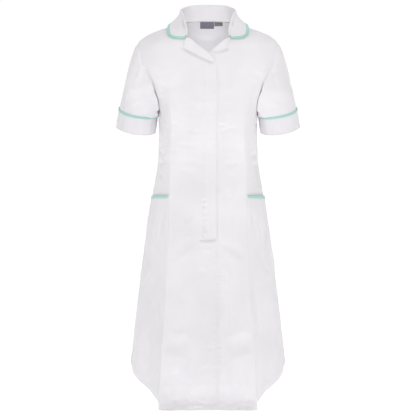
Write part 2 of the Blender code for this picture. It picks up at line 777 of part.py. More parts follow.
def build_revere(name, table, side, base):
    """Turned-out top of a front, folded over along the roll line."""
    outer = []
    inner = []
    for roll_x, roll_z, edge_x, edge_z in zip(*table.values()):
        start = (s_at(roll_x, roll_z), roll_z)
        end = (s_at(edge_x, edge_z), edge_z)
        width = (place(*end) - place(*start)).length
        shares = [(at / width, up, under) for at, up, under in REVERE_FOLD]
        shares += [(at, up, under) for at, up, under in REVERE_LEAF]
        rest = base(mix(start[0], end[0], 0.5), start[1]) if callable(base) else base
        full = min(1.0, 0.45 + width / 45)
        for row, column in ((outer, 1), (inner, 2)):
            line = []
            for share in shares:
                s = mix(start[0], end[0], share[0])
                z = mix(start[1], end[1], share[0])
                lift = share[column]
                lift = lift * full if lift > 2 else lift
                line.append(place(side * s, z, rest + lift))
            row.append(line)
    wall(name, outer, inner, "white_cloth")


def build_labels():
    for name, (left, right, top, foot), finish in (
            ("neck_label", NECK_LABEL, "label_grey"), ("size_tab", SIZE_TAB, "label_black")):
        rows = []
        for k in range(4):
            z = mix(foot, top, k / 3)
            row = []
            for i in range(7):
                x = mix(left, right, i / 6)
                s = s_at(abs(x), z, behind=True)
                row.append((s if x >= 0 else -s, z))
            rows.append(row)
        panel(name, rows, 1, -CLOTH - 2 * SEAM_GAP, LABEL_WALL, finish=finish)


def main():
    for thing in list(bpy.data.objects):
        bpy.data.objects.remove(thing, do_unlink=True)
    build_fronts()
    build_fly()
    build_sides()
    build_back()
    build_sleeves()
    build_collar()
    build_revere("revere_right", RIGHT_REVERE, -1, overlap_lift)
    build_revere("revere_left", LEFT_REVERE, 1, 0.0)
    build_labels()


main()
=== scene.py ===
"""Nurse uniform dress in white polycotton with mint trims, filled out as it is worn.

Each panel that a maker would cut is a thin closed sheet of cloth laid on the
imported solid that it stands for. The cloth gets its drape, creases, hems and
stitches here. A place on the body is (s, z): s is 0 at the centre front, 0.5 at
the front seam, 1 at the side or on the shoulder line, 1.5 at the back seam and 2
at the centre back, and z is the height. The wearer's left lies at +X.
Sizes are in millimetres and become metres when a mesh is made.
"""
import logging
import math
from collections.abc import Callable, Sequence
from dataclasses import dataclass, field
from enum import Enum
from functools import partial
import bmesh
import bpy
import numpy as np
from mathutils import Euler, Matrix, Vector


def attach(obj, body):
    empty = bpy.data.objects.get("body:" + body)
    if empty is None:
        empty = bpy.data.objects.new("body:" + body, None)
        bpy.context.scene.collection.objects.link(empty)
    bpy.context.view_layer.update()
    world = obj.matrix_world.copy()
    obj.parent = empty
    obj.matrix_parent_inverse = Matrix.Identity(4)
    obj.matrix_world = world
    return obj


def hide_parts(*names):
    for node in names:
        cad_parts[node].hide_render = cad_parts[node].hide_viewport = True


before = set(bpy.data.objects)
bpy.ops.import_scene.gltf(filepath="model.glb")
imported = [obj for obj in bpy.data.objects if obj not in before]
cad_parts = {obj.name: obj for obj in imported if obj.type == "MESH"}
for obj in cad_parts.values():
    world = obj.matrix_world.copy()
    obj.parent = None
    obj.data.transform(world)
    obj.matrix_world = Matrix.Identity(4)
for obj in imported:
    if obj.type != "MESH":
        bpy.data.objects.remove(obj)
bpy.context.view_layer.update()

LOG = logging.getLogger("nurse_dress")
MM = 0.001
BODY_NAME = "root"

Array = np.ndarray
Lift = Callable[[Array, Array], Array]

# The body's horizontal sections from the top down; turns are degrees
COLUMNS = ("z", "half_width", "front", "seam_x", "seam_y", "turn_in", "turn_out",
           "back", "back_x", "back_y", "back_turn")
SECTIONS = (
    (34, 44, 50, 30, 42, 28, 28, 58, 28, 51, 25),
    (19, 71, 56, 51, 42, 34, 34, 64, 48, 51, 32),
    (0, 131, 68, 98, 49, 34, 34, 76, 88, 60, 30),
    (-18, 172, 83, 132, 58, 38, 38, 86, 120, 66, 34),
    (-37, 192, 93, 150, 62, 42, 42, 94, 140, 70, 38),
    (-62, 198, 103, 158, 64, 44, 44, 101, 150, 72, 42),
    (-95, 199, 113, 162, 66, 46, 46, 107, 156, 68, 46),
    (-129, 187, 124, 160, 62, 50, 50, 109, 158, 58, 52),
    (-150, 168, 131, 136, 84, 36, 48, 108, 134, 72, 44),
    (-170, 153, 136, 119, 100, 26, 52, 107, 115, 82, 34),
    (-191, 141, 139, 109, 110, 18, 56, 106, 103, 87, 28),
    (-220, 137.5, 139, 102, 115, 13, 58, 102, 95, 87, 24),
    (-265, 136, 131, 100, 111, 12, 58, 93, 91, 79, 22),
    (-345, 138, 112, 103.5, 97, 12, 55, 79, 89, 65, 22),
    (-442, 153, 122, 106, 108, 12, 50, 106, 93, 91, 24),
    (-566, 174, 134, 109, 120, 10, 48, 118, 99, 103, 24),
    (-724, 195, 148, 117.5, 136, 8, 54, 124, 106, 111, 24),
    (-860, 212.5, 162, 127.5, 152, 7, 66, 130, 113, 118, 24),
    (-945, 221, 171, 132, 164, 5, 78, 134, 118, 123, 26),
    (-1030, 225, 181, 136, 176, 4, 88, 138, 123, 127, 28),
)

# Large folds of the skirt: place, half width in s, top, deepest height, depth
FOLDS = (
    (-0.86, 0.10, -560, -990, 4.0), (-0.70, 0.09, -600, -985, -5.0),
    (0.84, 0.11, -590, -990, 4.5), (0.68, 0.08, -620, -985, -4.5),
    (-0.27, 0.09, -760, -1015, -3.5), (0.31, 0.08, -800, -1015, -3.0),
    (2.0, 0.13, -520, -1010, 6.0), (-1.62, 0.12, -500, -1000, 5.0),
    (-1.80, 0.10, -540, -1005, -5.0), (1.60, 0.13, -520, -1000, 5.5),
    (1.81, 0.09, -500, -1005, -5.5), (-1.22, 0.12, -560, -980, -4.5),
    (1.24, 0.12, -540, -980, -4.0),
)

# Hem height round the section, and the rows of the panels at their seams
HEM_S = (0, 0.5, 0.56, 0.625, 0.75, 0.875, 1.0, 1.13, 1.26, 1.5, 2.0)
HEM_Z = (-1019, -1022, -1004, -1001, -982, -958, -943, -960, -983, -1008, -1016)
POCKET_FLOOR_Z = -600.0
MOUTH_INNER_Z = -440.0
MOUTH_OUTER_Z = -459.0
SEAM_TOP_Z = -129.0
ROWS = (-1022, -985, -945, -900, -850, -795, -735, -670, POCKET_FLOOR_Z, -545, -490,
        MOUTH_INNER_Z, -400, -365, -335, -300, -268, -240, -215, -193, -173, -156, -142, SEAM_TOP_Z)
POCKET_FLOOR_ROW = 8
MOUTH_ROW = 11
HEM_ROWS = 6
TOP_ROW = len(ROWS) - 1

# Named places on the dress
NECK_POINT = (71.0, 19.0)
SHOULDER_TIP = (192.0, -37.0)
NAPE_Z = 24.0
BREAK_Z = -88.0
UNDERARM_Z = -191.0
WAIST_Z = -345.0
EDGE_X = 24.0
ARMHOLE_UPPER = ((192, -37), (188.5, -44.5), (184.5, -56), (180.5, -80), (175, -104), (160, -129))
ARMHOLE_LOWER = ((160, -129), (153.5, -142), (146, -166), (141, -191))
ROLL_LINE = ((-EDGE_X, BREAK_Z), (4, -59), (24, -44.5), (40, -31.5), (58.5, -19.5))
NECKLINE = ((58.5, -19.5), (65, -7), (69.5, 4), (71.5, 12), NECK_POINT)
UPPER_STEPS = 7
LOWER_STEPS = 5

# Lifts of the layers over the body surface
OVERLAP_LIFT = 1.8
OVERLAP_FADE = (28.0, 75.0)
POCKET_GAPE = 3.2

# Cloth of the shown pieces: its thickness, how far it turns in at a seam, its hem
CLOTH = 0.5
SEAM_DIP = 0.8
SEAM_REACH = 1.7
HEM_DEPTH = 25.0
HEM_STITCH_UP = 23.0
HEM_SWELL = 0.7
HEM_GROOVE = 0.8
PITCH = 3.1
CUFF_WALL = 1.1
SWEPT_CORNERS = 14


class Side(Enum):
    """Half of the dress, by the wearer's sides."""

    RIGHT = -1
    LEFT = 1

    @property
    def word(self) -> str:
        """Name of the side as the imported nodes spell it."""
        return self.name.lower()


class Chart(Enum):
    """How the points of a crease are given."""

    FRONT = "x and height, seen from the front"
    BACK = "x and height, on the back"
    ROUND = "place round the section and height"


class Slot(Enum):
    """Material slots of the record."""

    WHITE = "white_cloth"
    MINT = "mint_trim"
    GREY = "label_grey"
    BLACK = "label_black"


class Held(Enum):
    """How a piece of cloth is held."""

    HUNG = "hung"
    FOLDED = "folded"
    STRETCHED = "stretched"


def hermite(u: Array, start: Array, leave: Array, end: Array, arrive: Array) -> Array:
    """Cubic curve between two values.

    Args:
        u: Share of the way.
        start: Value at the start.
        leave: Slope there.
        end: Value at the end.
        arrive: Slope there.

    Returns:
        The values.
    """
    return ((2 * u**3 - 3 * u**2 + 1) * start + (u**3 - 2 * u**2 + u) * leave
            + (3 * u**2 - 2 * u**3) * end + (u**3 - u**2) * arrive)


def blend(stations: Sequence[float] | Array, values: Sequence | Array, at: Array | float) -> Array:
    """Smooth value between stations that never passes their values.

    Args:
        stations: Rising positions of the stations.
        values: A number or an array of numbers for each station.
        at: Positions to read.

    Returns:
        The values, with the shape of at followed by the shape of one value.
    """
    x = np.asarray(stations, float)
    y = np.asarray(values, float)
    at = np.clip(np.asarray(at, float), x[0], x[-1])
    extra = (1,) * (y.ndim - 1)
    step = np.diff(x).reshape(-1, *extra)
    chord = np.diff(y, axis=0) / step
    slope = np.empty_like(y)
    slope[0], slope[-1] = chord[0], chord[-1]
    before, after = chord[:-1], chord[1:]
    total = np.where(before + after == 0, 1.0, before + after)
    slope[1:-1] = np.where(before * after > 0, 2 * before * after / total, 0.0)
    i = np.clip(np.searchsorted(x, at) - 1, 0, len(x) - 2)
    width = step[i]
    u = ((at - x[i]).reshape(*at.shape, *extra)) / width
    return hermite(u, y[i], width * slope[i], y[i + 1], width * slope[i + 1])


def ease(u: Array | float) -> Array:
    """Smooth step from 0 to 1."""
    u = np.clip(u, 0.0, 1.0)
    return u * u * (3 - 2 * u)


def bump_at(gap: Array | float, reach: float) -> Array:
    """Bell curve, 1 where the gap is none."""
    return np.exp(-((gap / reach) ** 2))


def mix(a: Array | float, b: Array | float, u: Array | float) -> Array:
    """Value at the share u of the way from a to b."""
    return a + (b - a) * u


def unit(vectors: Array) -> Array:
    """Vectors made one long."""
    length = np.linalg.norm(vectors, axis=-1, keepdims=True)
    return vectors / np.maximum(length, 1e-9)


def clear_of(vectors: Array, *ways: Array) -> Array:
    """Unit vectors with nothing left along some ways.

    Args:
        vectors: Vectors, one row each.
        ways: Unit ways to clear, in turn.

    Returns:
        The unit vectors.
    """
    for way in ways:
        vectors = vectors - way * np.sum(vectors * way, axis=1, keepdims=True)
    return unit(vectors)


def halved(low: Array, high: Array, too_low: Callable[[Array], Array], steps: int) -> Array:
    """Places where a test changes, found by halving.

    Args:
        low: Lower ends.
        high: Upper ends.
        too_low: Test that holds below the places looked for.
        steps: How many times to halve.

    Returns:
        The places.
    """
    for _ in range(steps):
        middle = (low + high) / 2
        up = too_low(middle)
        low, high = np.where(up, middle, low), np.where(up, high, middle)
    return (low + high) / 2


def run_lengths(points: Array, axis: int) -> Array:
    """Length run from the first point along one axis of a grid.

    Args:
        points: Grid of points; its last axis holds their coordinates.
        axis: Axis of the grid to run along.

    Returns:
        The lengths, zero at the start, in the grid's shape.
    """
    steps = np.linalg.norm(np.diff(points, axis=axis), axis=-1)
    start = np.zeros_like(np.take(steps, [0], axis=axis))
    return np.concatenate([start, np.cumsum(steps, axis=axis)], axis=axis)


class Form:
    """Surface of the worn dress, worked out from its horizontal sections."""

    def __init__(self) -> None:
        """Reads the sections into a fine table of heights."""
        rows = sorted(SECTIONS)
        stations = [row[0] for row in rows]
        self.levels = np.arange(-1070.0, 60.0, 0.5)
        self.table = {name: blend(stations, [row[i] for row in rows], self.levels)
                      for i, name in enumerate(COLUMNS)}

    def row(self, z: Array, name: str) -> Array:
        """One column of the section table at some heights."""
        return np.interp(z, self.levels, self.table[name])

    def plan(self, t: Array, z: Array) -> Array:
        """Plan points of the wearer's left half.

        Args:
            t: Places from 0 to 2.
            z: Heights, in the same shape.

        Returns:
            The points' x and y along a new last axis.
        """
        t, z = np.broadcast_arrays(np.asarray(t, float), np.asarray(z, float))
        get = {name: self.row(z, name) for name in COLUMNS[1:]}
        none = np.zeros_like(z)

        def way(turn: Array) -> tuple[Array, Array]:
            """Direction that has swung back by a turn in degrees."""
            return np.cos(np.radians(turn)), np.sin(np.radians(turn))

        swing = way(get["back_turn"])
        back_way = (-swing[0], swing[1])
        knots = np.array([(none, -get["front"]), (get["seam_x"], -get["seam_y"]),
                          (get["half_width"], none), (get["back_x"], get["back_y"]),
                          (none, get["back"])])
        leave = np.array([(none + 1, none), way(get["turn_out"]), (none, none + 1), back_way])
        arrive = np.array([way(get["turn_in"]), (none, none + 1), back_way, (none - 1, none)])
        part = np.clip(np.floor(2 * t).astype(int), 0, 3)
        u = 2 * t - part

        def pick(source: Array, index: Array) -> Array:
            """Entries of a table by the part of the section that a place is in."""
            return np.take_along_axis(source, index[None, None], axis=0)[0]

        start, end = pick(knots, part), pick(knots, part + 1)
        reach = np.hypot(*(end - start))
        point = hermite(u, start, reach * pick(leave, part), end, reach * pick(arrive, part))
        return np.moveaxis(point, 0, -1)

    def body(self, s: Array, z: Array) -> Array:
        """Points of the body surface, with the skirt's large folds.

        Args:
            s: Places round the section, below zero on the wearer's right.
            z: Heights.

        Returns:
            The points, in millimetres.
        """
        s, z = np.broadcast_arrays(np.asarray(s, float), np.asarray(z, float))
        s = np.where(np.abs(s) > 2, s - np.copysign(4.0, s), s)
        flat = self.plan(np.abs(s), z)
        depth = np.zeros_like(z)
        for middle, half, top, deepest, height in FOLDS:
            gap = np.abs(s - middle)
            gap = np.minimum(gap, 4 - gap) / half
            depth += np.where((gap < 1) & (z < top),
                              height * (1 - gap**2) ** 2 * ease((top - z) / (top - deepest)), 0.0)
        grow = 1 + depth / np.hypot(flat[..., 0], flat[..., 1])
        return np.stack([np.copysign(flat[..., 0], s) * grow, flat[..., 1] * grow, z], axis=-1)

    def out(self, s: Array, z: Array) -> Array:
        """Ways out of the surface.

        Args:
            s: Places round the section.
            z: Heights.

        Returns:
            Ways about one long, longer where a corner needs a mitre.
        """
        here = self.body(s, z)
        step = 0.012
        round_way = unit(self.body(s + step, z) - here) + unit(here - self.body(s - step, z))
        up_way = self.body(s, z + 2) - self.body(s, z - 2)
        width = np.linalg.norm(round_way, axis=-1, keepdims=True)
        return unit(np.cross(round_way, up_way)) * np.minimum(2 / np.maximum(width, 0.1), 1.35)

    def place(self, s: Array, z: Array, lift: Array | float) -> Array:
        """Points at a lift over the body surface."""
        return self.body(s, z) + self.out(s, z) * np.asarray(lift, float)[..., None]

    def half_width(self, y: Array, z: Array) -> Array:
        """Half the width of the body.

        Args:
            y: Depths, in front of the middle below zero.
            z: Heights, in the same shape.

        Returns:
            The half widths.
        """
        sections = self.plan(*np.broadcast_arrays(np.linspace(0.4, 1.6, 49), z[..., None]))
        rows = sections.reshape(-1, *sections.shape[-2:])
        wide = [np.interp(at, row[:, 1], row[:, 0]) for at, row in zip(y.ravel(), rows)]
        return np.array(wide).reshape(y.shape)

    def s_at(self, x: Array, z: Array, behind: bool = False) -> Array:
        """Places that have a given distance from the centre.

        Args:
            x: Distances from the centre; their sign is kept.
            z: Heights.
            behind: True for the back half of the section.

        Returns:
            Places round the section, below zero where x is.
        """
        x, z = np.broadcast_arrays(np.asarray(x, float), np.asarray(z, float))
        low = np.full_like(x, 1.0 if behind else 0.0)
        found = halved(low, low + 1, lambda t: (self.plan(t, z)[..., 0] < np.abs(x)) != behind, 34)
        return np.where(x < 0, -1.0, 1.0) * found


FORM = Form()


def even_path(points: Sequence, steps: int) -> Array:
    """Even steps along a smooth line through drawn points.

    Args:
        points: The drawn points.
        steps: How many steps to take.

    Returns:
        The points at the steps' ends.
    """
    drawn = np.asarray(points, float)
    lengths = run_lengths(drawn, 0)
    return blend(lengths, drawn, np.linspace(0, lengths[-1], steps + 1))


def armhole(behind: bool = False, finer: int = 1) -> Array:
    """Armhole from the shoulder tip to the underarm.

    Args:
        behind: True for its back half.
        finer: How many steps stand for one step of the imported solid.

    Returns:
        Places (s, z) on the body, one row each.
    """
    upper = UPPER_STEPS * finer
    drawn = np.concatenate([even_path(ARMHOLE_UPPER, upper),
                            even_path(ARMHOLE_LOWER, LOWER_STEPS * finer)[1:]])
    line = np.stack([FORM.s_at(drawn[:, 0], drawn[:, 1], behind), drawn[:, 1]], axis=-1)
    line[0, 0] = line[-1, 0] = 1.0
    line[upper, 0] = 1.5 if behind else 0.5
    return line


def shoulder(steps: int) -> Array:
    """Shoulder line from the neck point to the tip.

    Args:
        steps: Steps along it.

    Returns:
        Places on the body, one row each.
    """
    x = np.linspace(NECK_POINT[0], SHOULDER_TIP[0], steps + 1)
    z = halved(np.full_like(x, SHOULDER_TIP[1]), np.full_like(x, NECK_POINT[1]),
               lambda z: FORM.row(z, "half_width") > x, 30)
    return np.stack([np.ones_like(x), z], axis=-1)


def hem_z(t: Array) -> Array:
    """Height of the hem round the section."""
    return blend(HEM_S, HEM_Z, np.abs(t))


def row_z(k: int, t: Array) -> Array:
    """Height of a row of the panels.

    Args:
        k: Number of the row, the hem first.
        t: Places round the section, not below zero.

    Returns:
        Heights, one for each place.
    """
    t = np.asarray(t, float)
    z = np.full_like(t, ROWS[k])
    if k < HEM_ROWS:
        z = z + (hem_z(t) - ROWS[0]) * (1 - k / HEM_ROWS) ** 2
    share = ((ROWS[k] - WAIST_Z) / (SEAM_TOP_Z - WAIST_Z)) ** 2
    shift = np.where(t <= 0.5, mix(BREAK_Z - SEAM_TOP_Z, 0, 2 * t),
                     (UNDERARM_Z - SEAM_TOP_Z) * np.maximum(0.0, 1 - np.abs(2 * t - 2)))
    return np.where(z > WAIST_Z, z + shift * share, z)


def patch(bottom: Array, top: Array, left: Array, right: Array) -> Array:
    """Places spread evenly between four edges.

    Args:
        bottom: Places of the lowest row.
        top: Places of the highest row.
        left: Places of the first column.
        right: Places of the last column.

    Returns:
        Grid of places.
    """
    v = np.linspace(0, 1, len(left))[:, None, None]
    u = np.linspace(0, 1, len(bottom))[None, :, None]
    return (mix(left[:, None], right[:, None], u) + mix(bottom[None], top[None], v)
            - mix(mix(left[0], right[0], u), mix(left[-1], right[-1], u), v))


def front_places() -> Array:
    """Half front from its free edge to the front seam, as for the wearer's left."""
    rows = []
    for k in range(len(ROWS)):
        free = row_z(k, np.array([0.0]))[0]
        over = float(FORM.s_at(EDGE_X, free))
        s = np.array([-over, 0.0, over, *(mix(over, 0.5, i / 4) for i in range(1, 5))])
        rows.append(np.stack([s, np.where(s > over, row_z(k, np.abs(s)), free)], axis=-1))
    neck = np.concatenate([even_path(ROLL_LINE, 3)[:-1], even_path(NECKLINE, 4)])
    left = np.stack([FORM.s_at(neck[:, 0], neck[:, 1]), neck[:, 1]], axis=-1)
    left[-1] = (1.0, NECK_POINT[1])
    right = armhole()[UPPER_STEPS::-1]
    return np.concatenate([rows, patch(rows[-1], shoulder(6), left, right)[1:]])


def side_places(first: int, last: int, columns: int, behind: bool = False) -> Array:
    """Side panel between a seam and the side, up to the armhole where it gets there.

    Args:
        first: Lowest row of the panel.
        last: Highest row of the panel.
        columns: Steps across the panel.
        behind: True for the panel behind the side seam.

    Returns:
        Grid of places, as for the wearer's left.
    """
    t = np.linspace(1.5 if behind else 0.5, 1.0, columns + 1)
    rows = np.array([np.stack([t, row_z(k, t)], axis=-1) for k in range(first, last + 1)])
    if last == TOP_ROW:
        change = armhole(behind)[UPPER_STEPS:] - rows[-1]
        for k in range(8):
            rows[-1 - k] += (1 - k / 8) ** 2 * change
    return rows


def back_places() -> Array:
    """Centre back from one back seam or armhole to the other."""
    t = np.linspace(1.5, 2.0, 10)
    rows = np.array([np.stack([t, row_z(k, t)], axis=-1) for k in range(len(ROWS))])
    u = np.linspace(0, 1, 6)
    neck = np.stack([mix(1.0, 2.0, u), mix(NECK_POINT[1], NAPE_Z, ease(u))], axis=-1)
    top = np.concatenate([shoulder(4)[::-1], neck[1:]])
    right = np.linspace((2.0, ROWS[-1]), (2.0, NAPE_Z), UPPER_STEPS + 1)
    half = np.concatenate([rows, patch(rows[-1], top, armhole(True)[UPPER_STEPS::-1], right)[1:]])
    other = half[:, -2::-1] * (-1, 1) + (4, 0)
    return np.concatenate([half, other], axis=1)


def mouth_z(t: Array) -> Array:
    """Height of the pocket mouth at a place round the section."""
    return mix(MOUTH_INNER_Z, MOUTH_OUTER_Z, 2 * t - 1)


def pocket_places() -> Array:
    """Lower side panel from the hem to the pocket mouth."""
    rows = side_places(0, MOUTH_ROW, 2 * LOWER_STEPS)
    for back, share in ((1, 1.0), (2, 0.5)):
        rows[-back, :, 1] += share * (mouth_z(rows[-back, :, 0]) - MOUTH_INNER_Z)
    return rows


def from_centre(s: Array, z: Array) -> Array:
    """Distance from the centre, below zero on the other side."""
    return FORM.plan(np.abs(s), z)[..., 0] * np.where(s > 0, 1, -1)


def overlap_lift(s: Array, z: Array) -> Array:
    """Lift of the wearer's right front where it lies over the left one.

    Args:
        s: Places round the section.
        z: Heights.

    Returns:
        Lifts in millimetres.
    """
    near, far = OVERLAP_FADE
    return OVERLAP_LIFT * (1 - ease((from_centre(s, z) - near) / (far - near)))


def pocket_lift(s: Array, z: Array) -> Array:
    """Lift of the pocket front: flat at its sides and standing open at the mouth.

    Args:
        s: Places round the section.
        z: Heights.

    Returns:
        Lifts in millimetres.
    """
    middle = np.sin(np.pi * np.clip(2 * np.abs(s) - 1, 0.0, 1.0)) ** 0.6
    gape = POCKET_GAPE * middle * ease((z - POCKET_FLOOR_Z) / (MOUTH_OUTER_Z - POCKET_FLOOR_Z))
    flat = ease((POCKET_FLOOR_Z - 12 - z) / 70)
    return (CLOTH + 0.2 + gape) * (1 - flat)


@dataclass(frozen=True)
class Crease:
    """Soft trough or ridge in the cloth."""

    path: tuple[tuple[float, float], ...]  # its points, as the chart says
    width: float  # reach to each side, in millimetres
    height: float  # height in its middle; below zero it is a trough
    chart: Chart = Chart.FRONT  # how the points are given
    fade: tuple[float, float] = (0.35, 0.5)  # shares of its length over which it starts and ends

    def line(self) -> Array:
        """Its middle line as points in space."""
        drawn = even_path(self.path, 10)
        s, z = drawn[:, 0], drawn[:, 1]
        if self.chart is not Chart.ROUND:
            s = FORM.s_at(s, z, self.chart is Chart.BACK)
        return FORM.body(s, z)


def nearest(points: Array, line: Array) -> tuple[Array, Array]:
    """Distance of points from a line, and how far along it they lie.

    Args:
        points: Points, one row each.
        line: Points of the line.

    Returns:
        Distances, and shares of the line's length from 0 to 1.
    """
    lengths = run_lengths(line, 0)
    best = np.full(len(points), np.inf)
    share = np.zeros(len(points))
    for a, b, start, end in zip(line, line[1:], lengths, lengths[1:]):
        way = b - a
        t = np.clip((points - a) @ way / max(way @ way, 1e-9), 0, 1)
        gap = np.linalg.norm(points - a - t[:, None] * way, axis=1)
        closer = gap < best
        best = np.where(closer, gap, best)
        share = np.where(closer, (start + t * (end - start)) / lengths[-1], share)
    return best, share


@dataclass
class Relief:
    """Small hills and hollows of the cloth over the smooth body."""

    # middle line, width, height and fades of each crease
    creases: list[tuple[Array, float, float, tuple[float, float]]] = field(default_factory=list)
    seed: int = 11  # seed of the faint unevenness that all the cloth has
    unevenness: float = 0.3  # height of that unevenness, in millimetres

    def add(self, crease: Crease, line: Array | None = None) -> None:
        """Takes in a crease, on its own line or on one given in space."""
        self.creases.append((crease.line() if line is None else line,
                             crease.width, crease.height, crease.fade))

    def at(self, points: Array) -> Array:
        """Height of the relief at points of the smooth surface.

        Args:
            points: Grid of points; its last axis holds their coordinates.

        Returns:
            Heights in millimetres, in the grid's shape.
        """
        flat = points.reshape(-1, 3)
        total = self._uneven(flat)
        for line, width, height, (lead, tail) in self.creases:
            near = np.all((flat > line.min(0) - width) & (flat < line.max(0) + width), axis=1)
            if not near.any():
                continue
            gap, share = nearest(flat[near], line)
            along = ease(share / lead) * ease((1 - share) / tail)
            total[near] += height * np.maximum(1 - (gap / width) ** 2, 0) ** 2 * along
        return total.reshape(points.shape[:-1])

    def _uneven(self, flat: Array) -> Array:
        """Faint waves of different lengths and ways that never repeat.

        Args:
            flat: Points, one row each.

        Returns:
            Heights in millimetres.
        """
        rng = np.random.default_rng(self.seed)
        total = np.zeros(len(flat))
        for length in (160, 120, 90, 70, 52, 40, 30, 24):
            way = unit(rng.normal(size=3))
            other = unit(rng.normal(size=3))
            phase = rng.uniform(0, 2 * math.pi, 2)
            wave = np.sin(flat @ way * 2 * math.pi / length + phase[0])
            cross = np.sin(flat @ other * 2 * math.pi / (1.7 * length) + phase[1])
            total += wave * cross * (length / 90) ** 0.8
        return total * self.unevenness / 2


def split(row: Sequence[float]) -> tuple[tuple[tuple[float, float], ...], float, float]:
    """Path, width and height of a crease from its row in a table."""
    return tuple(zip(row[:-2:2], row[1:-2:2])), row[-2], row[-1]


# Creases of the fronts as (x, z, x, z ..., width, height), by how they fade at both ends
FRONT_CREASES = {
    (0.1, 0.1): (
        (17, -89, 1, -82.5, -18, -74, -34, -66, -46, -60, -57, -54.5, -67, -48, -67, -36, 5, -2.2),
        (12, -61, 24, -59, 35, -56, 46, -52, 55, -48, 5, -2.2),
        (-22, -558, 0, -559, 24, -557, 6, -4.8),
        (-134, -992, -60, -986, 10, -983, 70, -986, 134, -993, 34, -6.5),
    ),
    (0.25, 0.5): (
        (-142, -121, -122, -118, -101, -119, 11, -1.7),
    ),
    (0.35, 0.5): (
        (-140, -130, -118, -128, -98, -130, 14, 1.1), (141, -128, 119, -126, 99, -128, 14, 1),
        (-95, -162, -60, -200, -21, -241, 26, -2), (97, -166, 68, -198, 32, -230, 24, -1.7),
        (-66, -262, -38, -265, -4, -271, 8, -1.8), (22, -264, 50, -262, 88, -257, 8, -2),
        (-84, -298, -52, -305, -18, -303, 11, -1.8), (32, -313, 60, -317, 95, -309, 10, -1.5),
        (-92, -345, -58, -352, -18, -349, 13, -2.2), (34, -350, 62, -357, 97, -348, 12, -2),
        (-80, -372, -50, -376, -26, -372, 9, -1.4), (40, -384, 66, -387, 90, -380, 10, -1.2),
        (-100, -462, -103, -530, -98, -606, 15, -2.4), (101, -470, 104, -534, 101, -590, 14, -2.2),
        (-78, -505, -74, -548, -78, -596, 16, -1.7), (80, -492, 76, -545, 78, -585, 15, -1.5),
        (-34, -584, -70, -608, -112, -646, 20, 1.8), (38, -590, 78, -614, 118, -650, 20, 1.7),
        (-30, -580, -4, -586, 26, -578, 11, 1), (-36, -690, -33, -780, -36, -885, 17, -3),
        (-72, -700, -76, -760, -74, -800, 20, 1.8), (53, -690, 57, -770, 55, -868, 16, -3.3),
        (86, -704, 90, -764, 88, -806, 18, 1.5), (-88, -892, -86, -950, -94, -1004, 20, -4.5),
        (72, -884, 78, -944, 84, -1000, 20, -4.5), (-6, -916, 10, -909, 24, -901, 9, -1.2),
        (-3, -857, 9, -851, 20, -845, 8, -1.7), (-60, -934, -46, -952, -30, -962, 10, -1.8),
        (-96, -1000, -70, -1007, -44, -1004, 8, -2.7), (-52, -1012, -30, -1003, -8, -1008, 7, -2.8),
        (-14, -1000, 14, -1008, 38, -1003, 8, -2.8), (34, -1012, 58, -1004, 80, -1008, 7, -2.5),
        (70, -1000, 92, -1006, 116, -1003, 7, -2.2), (-28, -986, -12, -994, 6, -990, 7, 2),
        (-118, -1012, -104, -1004, -92, -1010, 6, -2.4),
        (-84, -1016, -70, -1012, -60, -1018, 5, -2.2),
        (-40, -1018, -26, -1012, -16, -1016, 5, -2.6), (-6, -1014, 6, -1018, 18, -1013, 5, -2.2),
        (24, -1018, 38, -1012, 52, -1017, 5, -2.4), (62, -1014, 76, -1018, 90, -1012, 5, -2.2),
        (98, -1016, 110, -1010, 124, -1015, 6, -2.3), (-58, -990, -48, -1000, -34, -1014, 7, -2.2),
        (44, -988, 52, -1002, 66, -1014, 7, -2),
    ),
    (0.25, 0.55): (
        (144, -120, 124, -117, 103, -118, 11, -1.6),
    ),
    (0.15, 0.7): (
        (-178, -94, -163, -122, -149, -150, -141, -184, 15, -6.6),
        (178, -96, 163, -124, 149, -152, 141, -186, 15, -6.4),
    ),
    (0.4, 0.5): (
        (-160, -98, -146, -122, -134, -150, -126, -190, 15, 3),
        (161, -101, 147, -125, 135, -153, 127, -193, 15, 3),
    ),
    (0.3, 0.6): (
        (-30, -552, -62, -576, -108, -616, 21, -2.7), (30, -556, 70, -582, 116, -618, 21, -2.5),
    ),
    (0.3, 0.4): (
        (-126, -840, -90, -844, -44, -852, 35, -9),
    ),
    (0.4, 0.3): (
        (38, -854, 84, -845, 126, -836, 35, -8.5),
    ),
    (0.05, 0.05): (
        (-134, -1036, -60, -1033, 0, -1031, 60, -1033, 134, -1036, 34, 8),
    ),
    (0.1, 0.6): (
        (-13, -452, -3, -454, 5, -1.5), (-13, -470, -1, -466, 5, -1.7),
        (-13, -487, 1, -490, 5, -1.4), (-13, -503, -2, -500, 5, -1.8),
        (-13, -519, 2, -523, 6, -1.8), (-13, -534, 0, -532, 5, -1.6), (-13, -547, 3, -549, 5, -1.6),
    ),
}


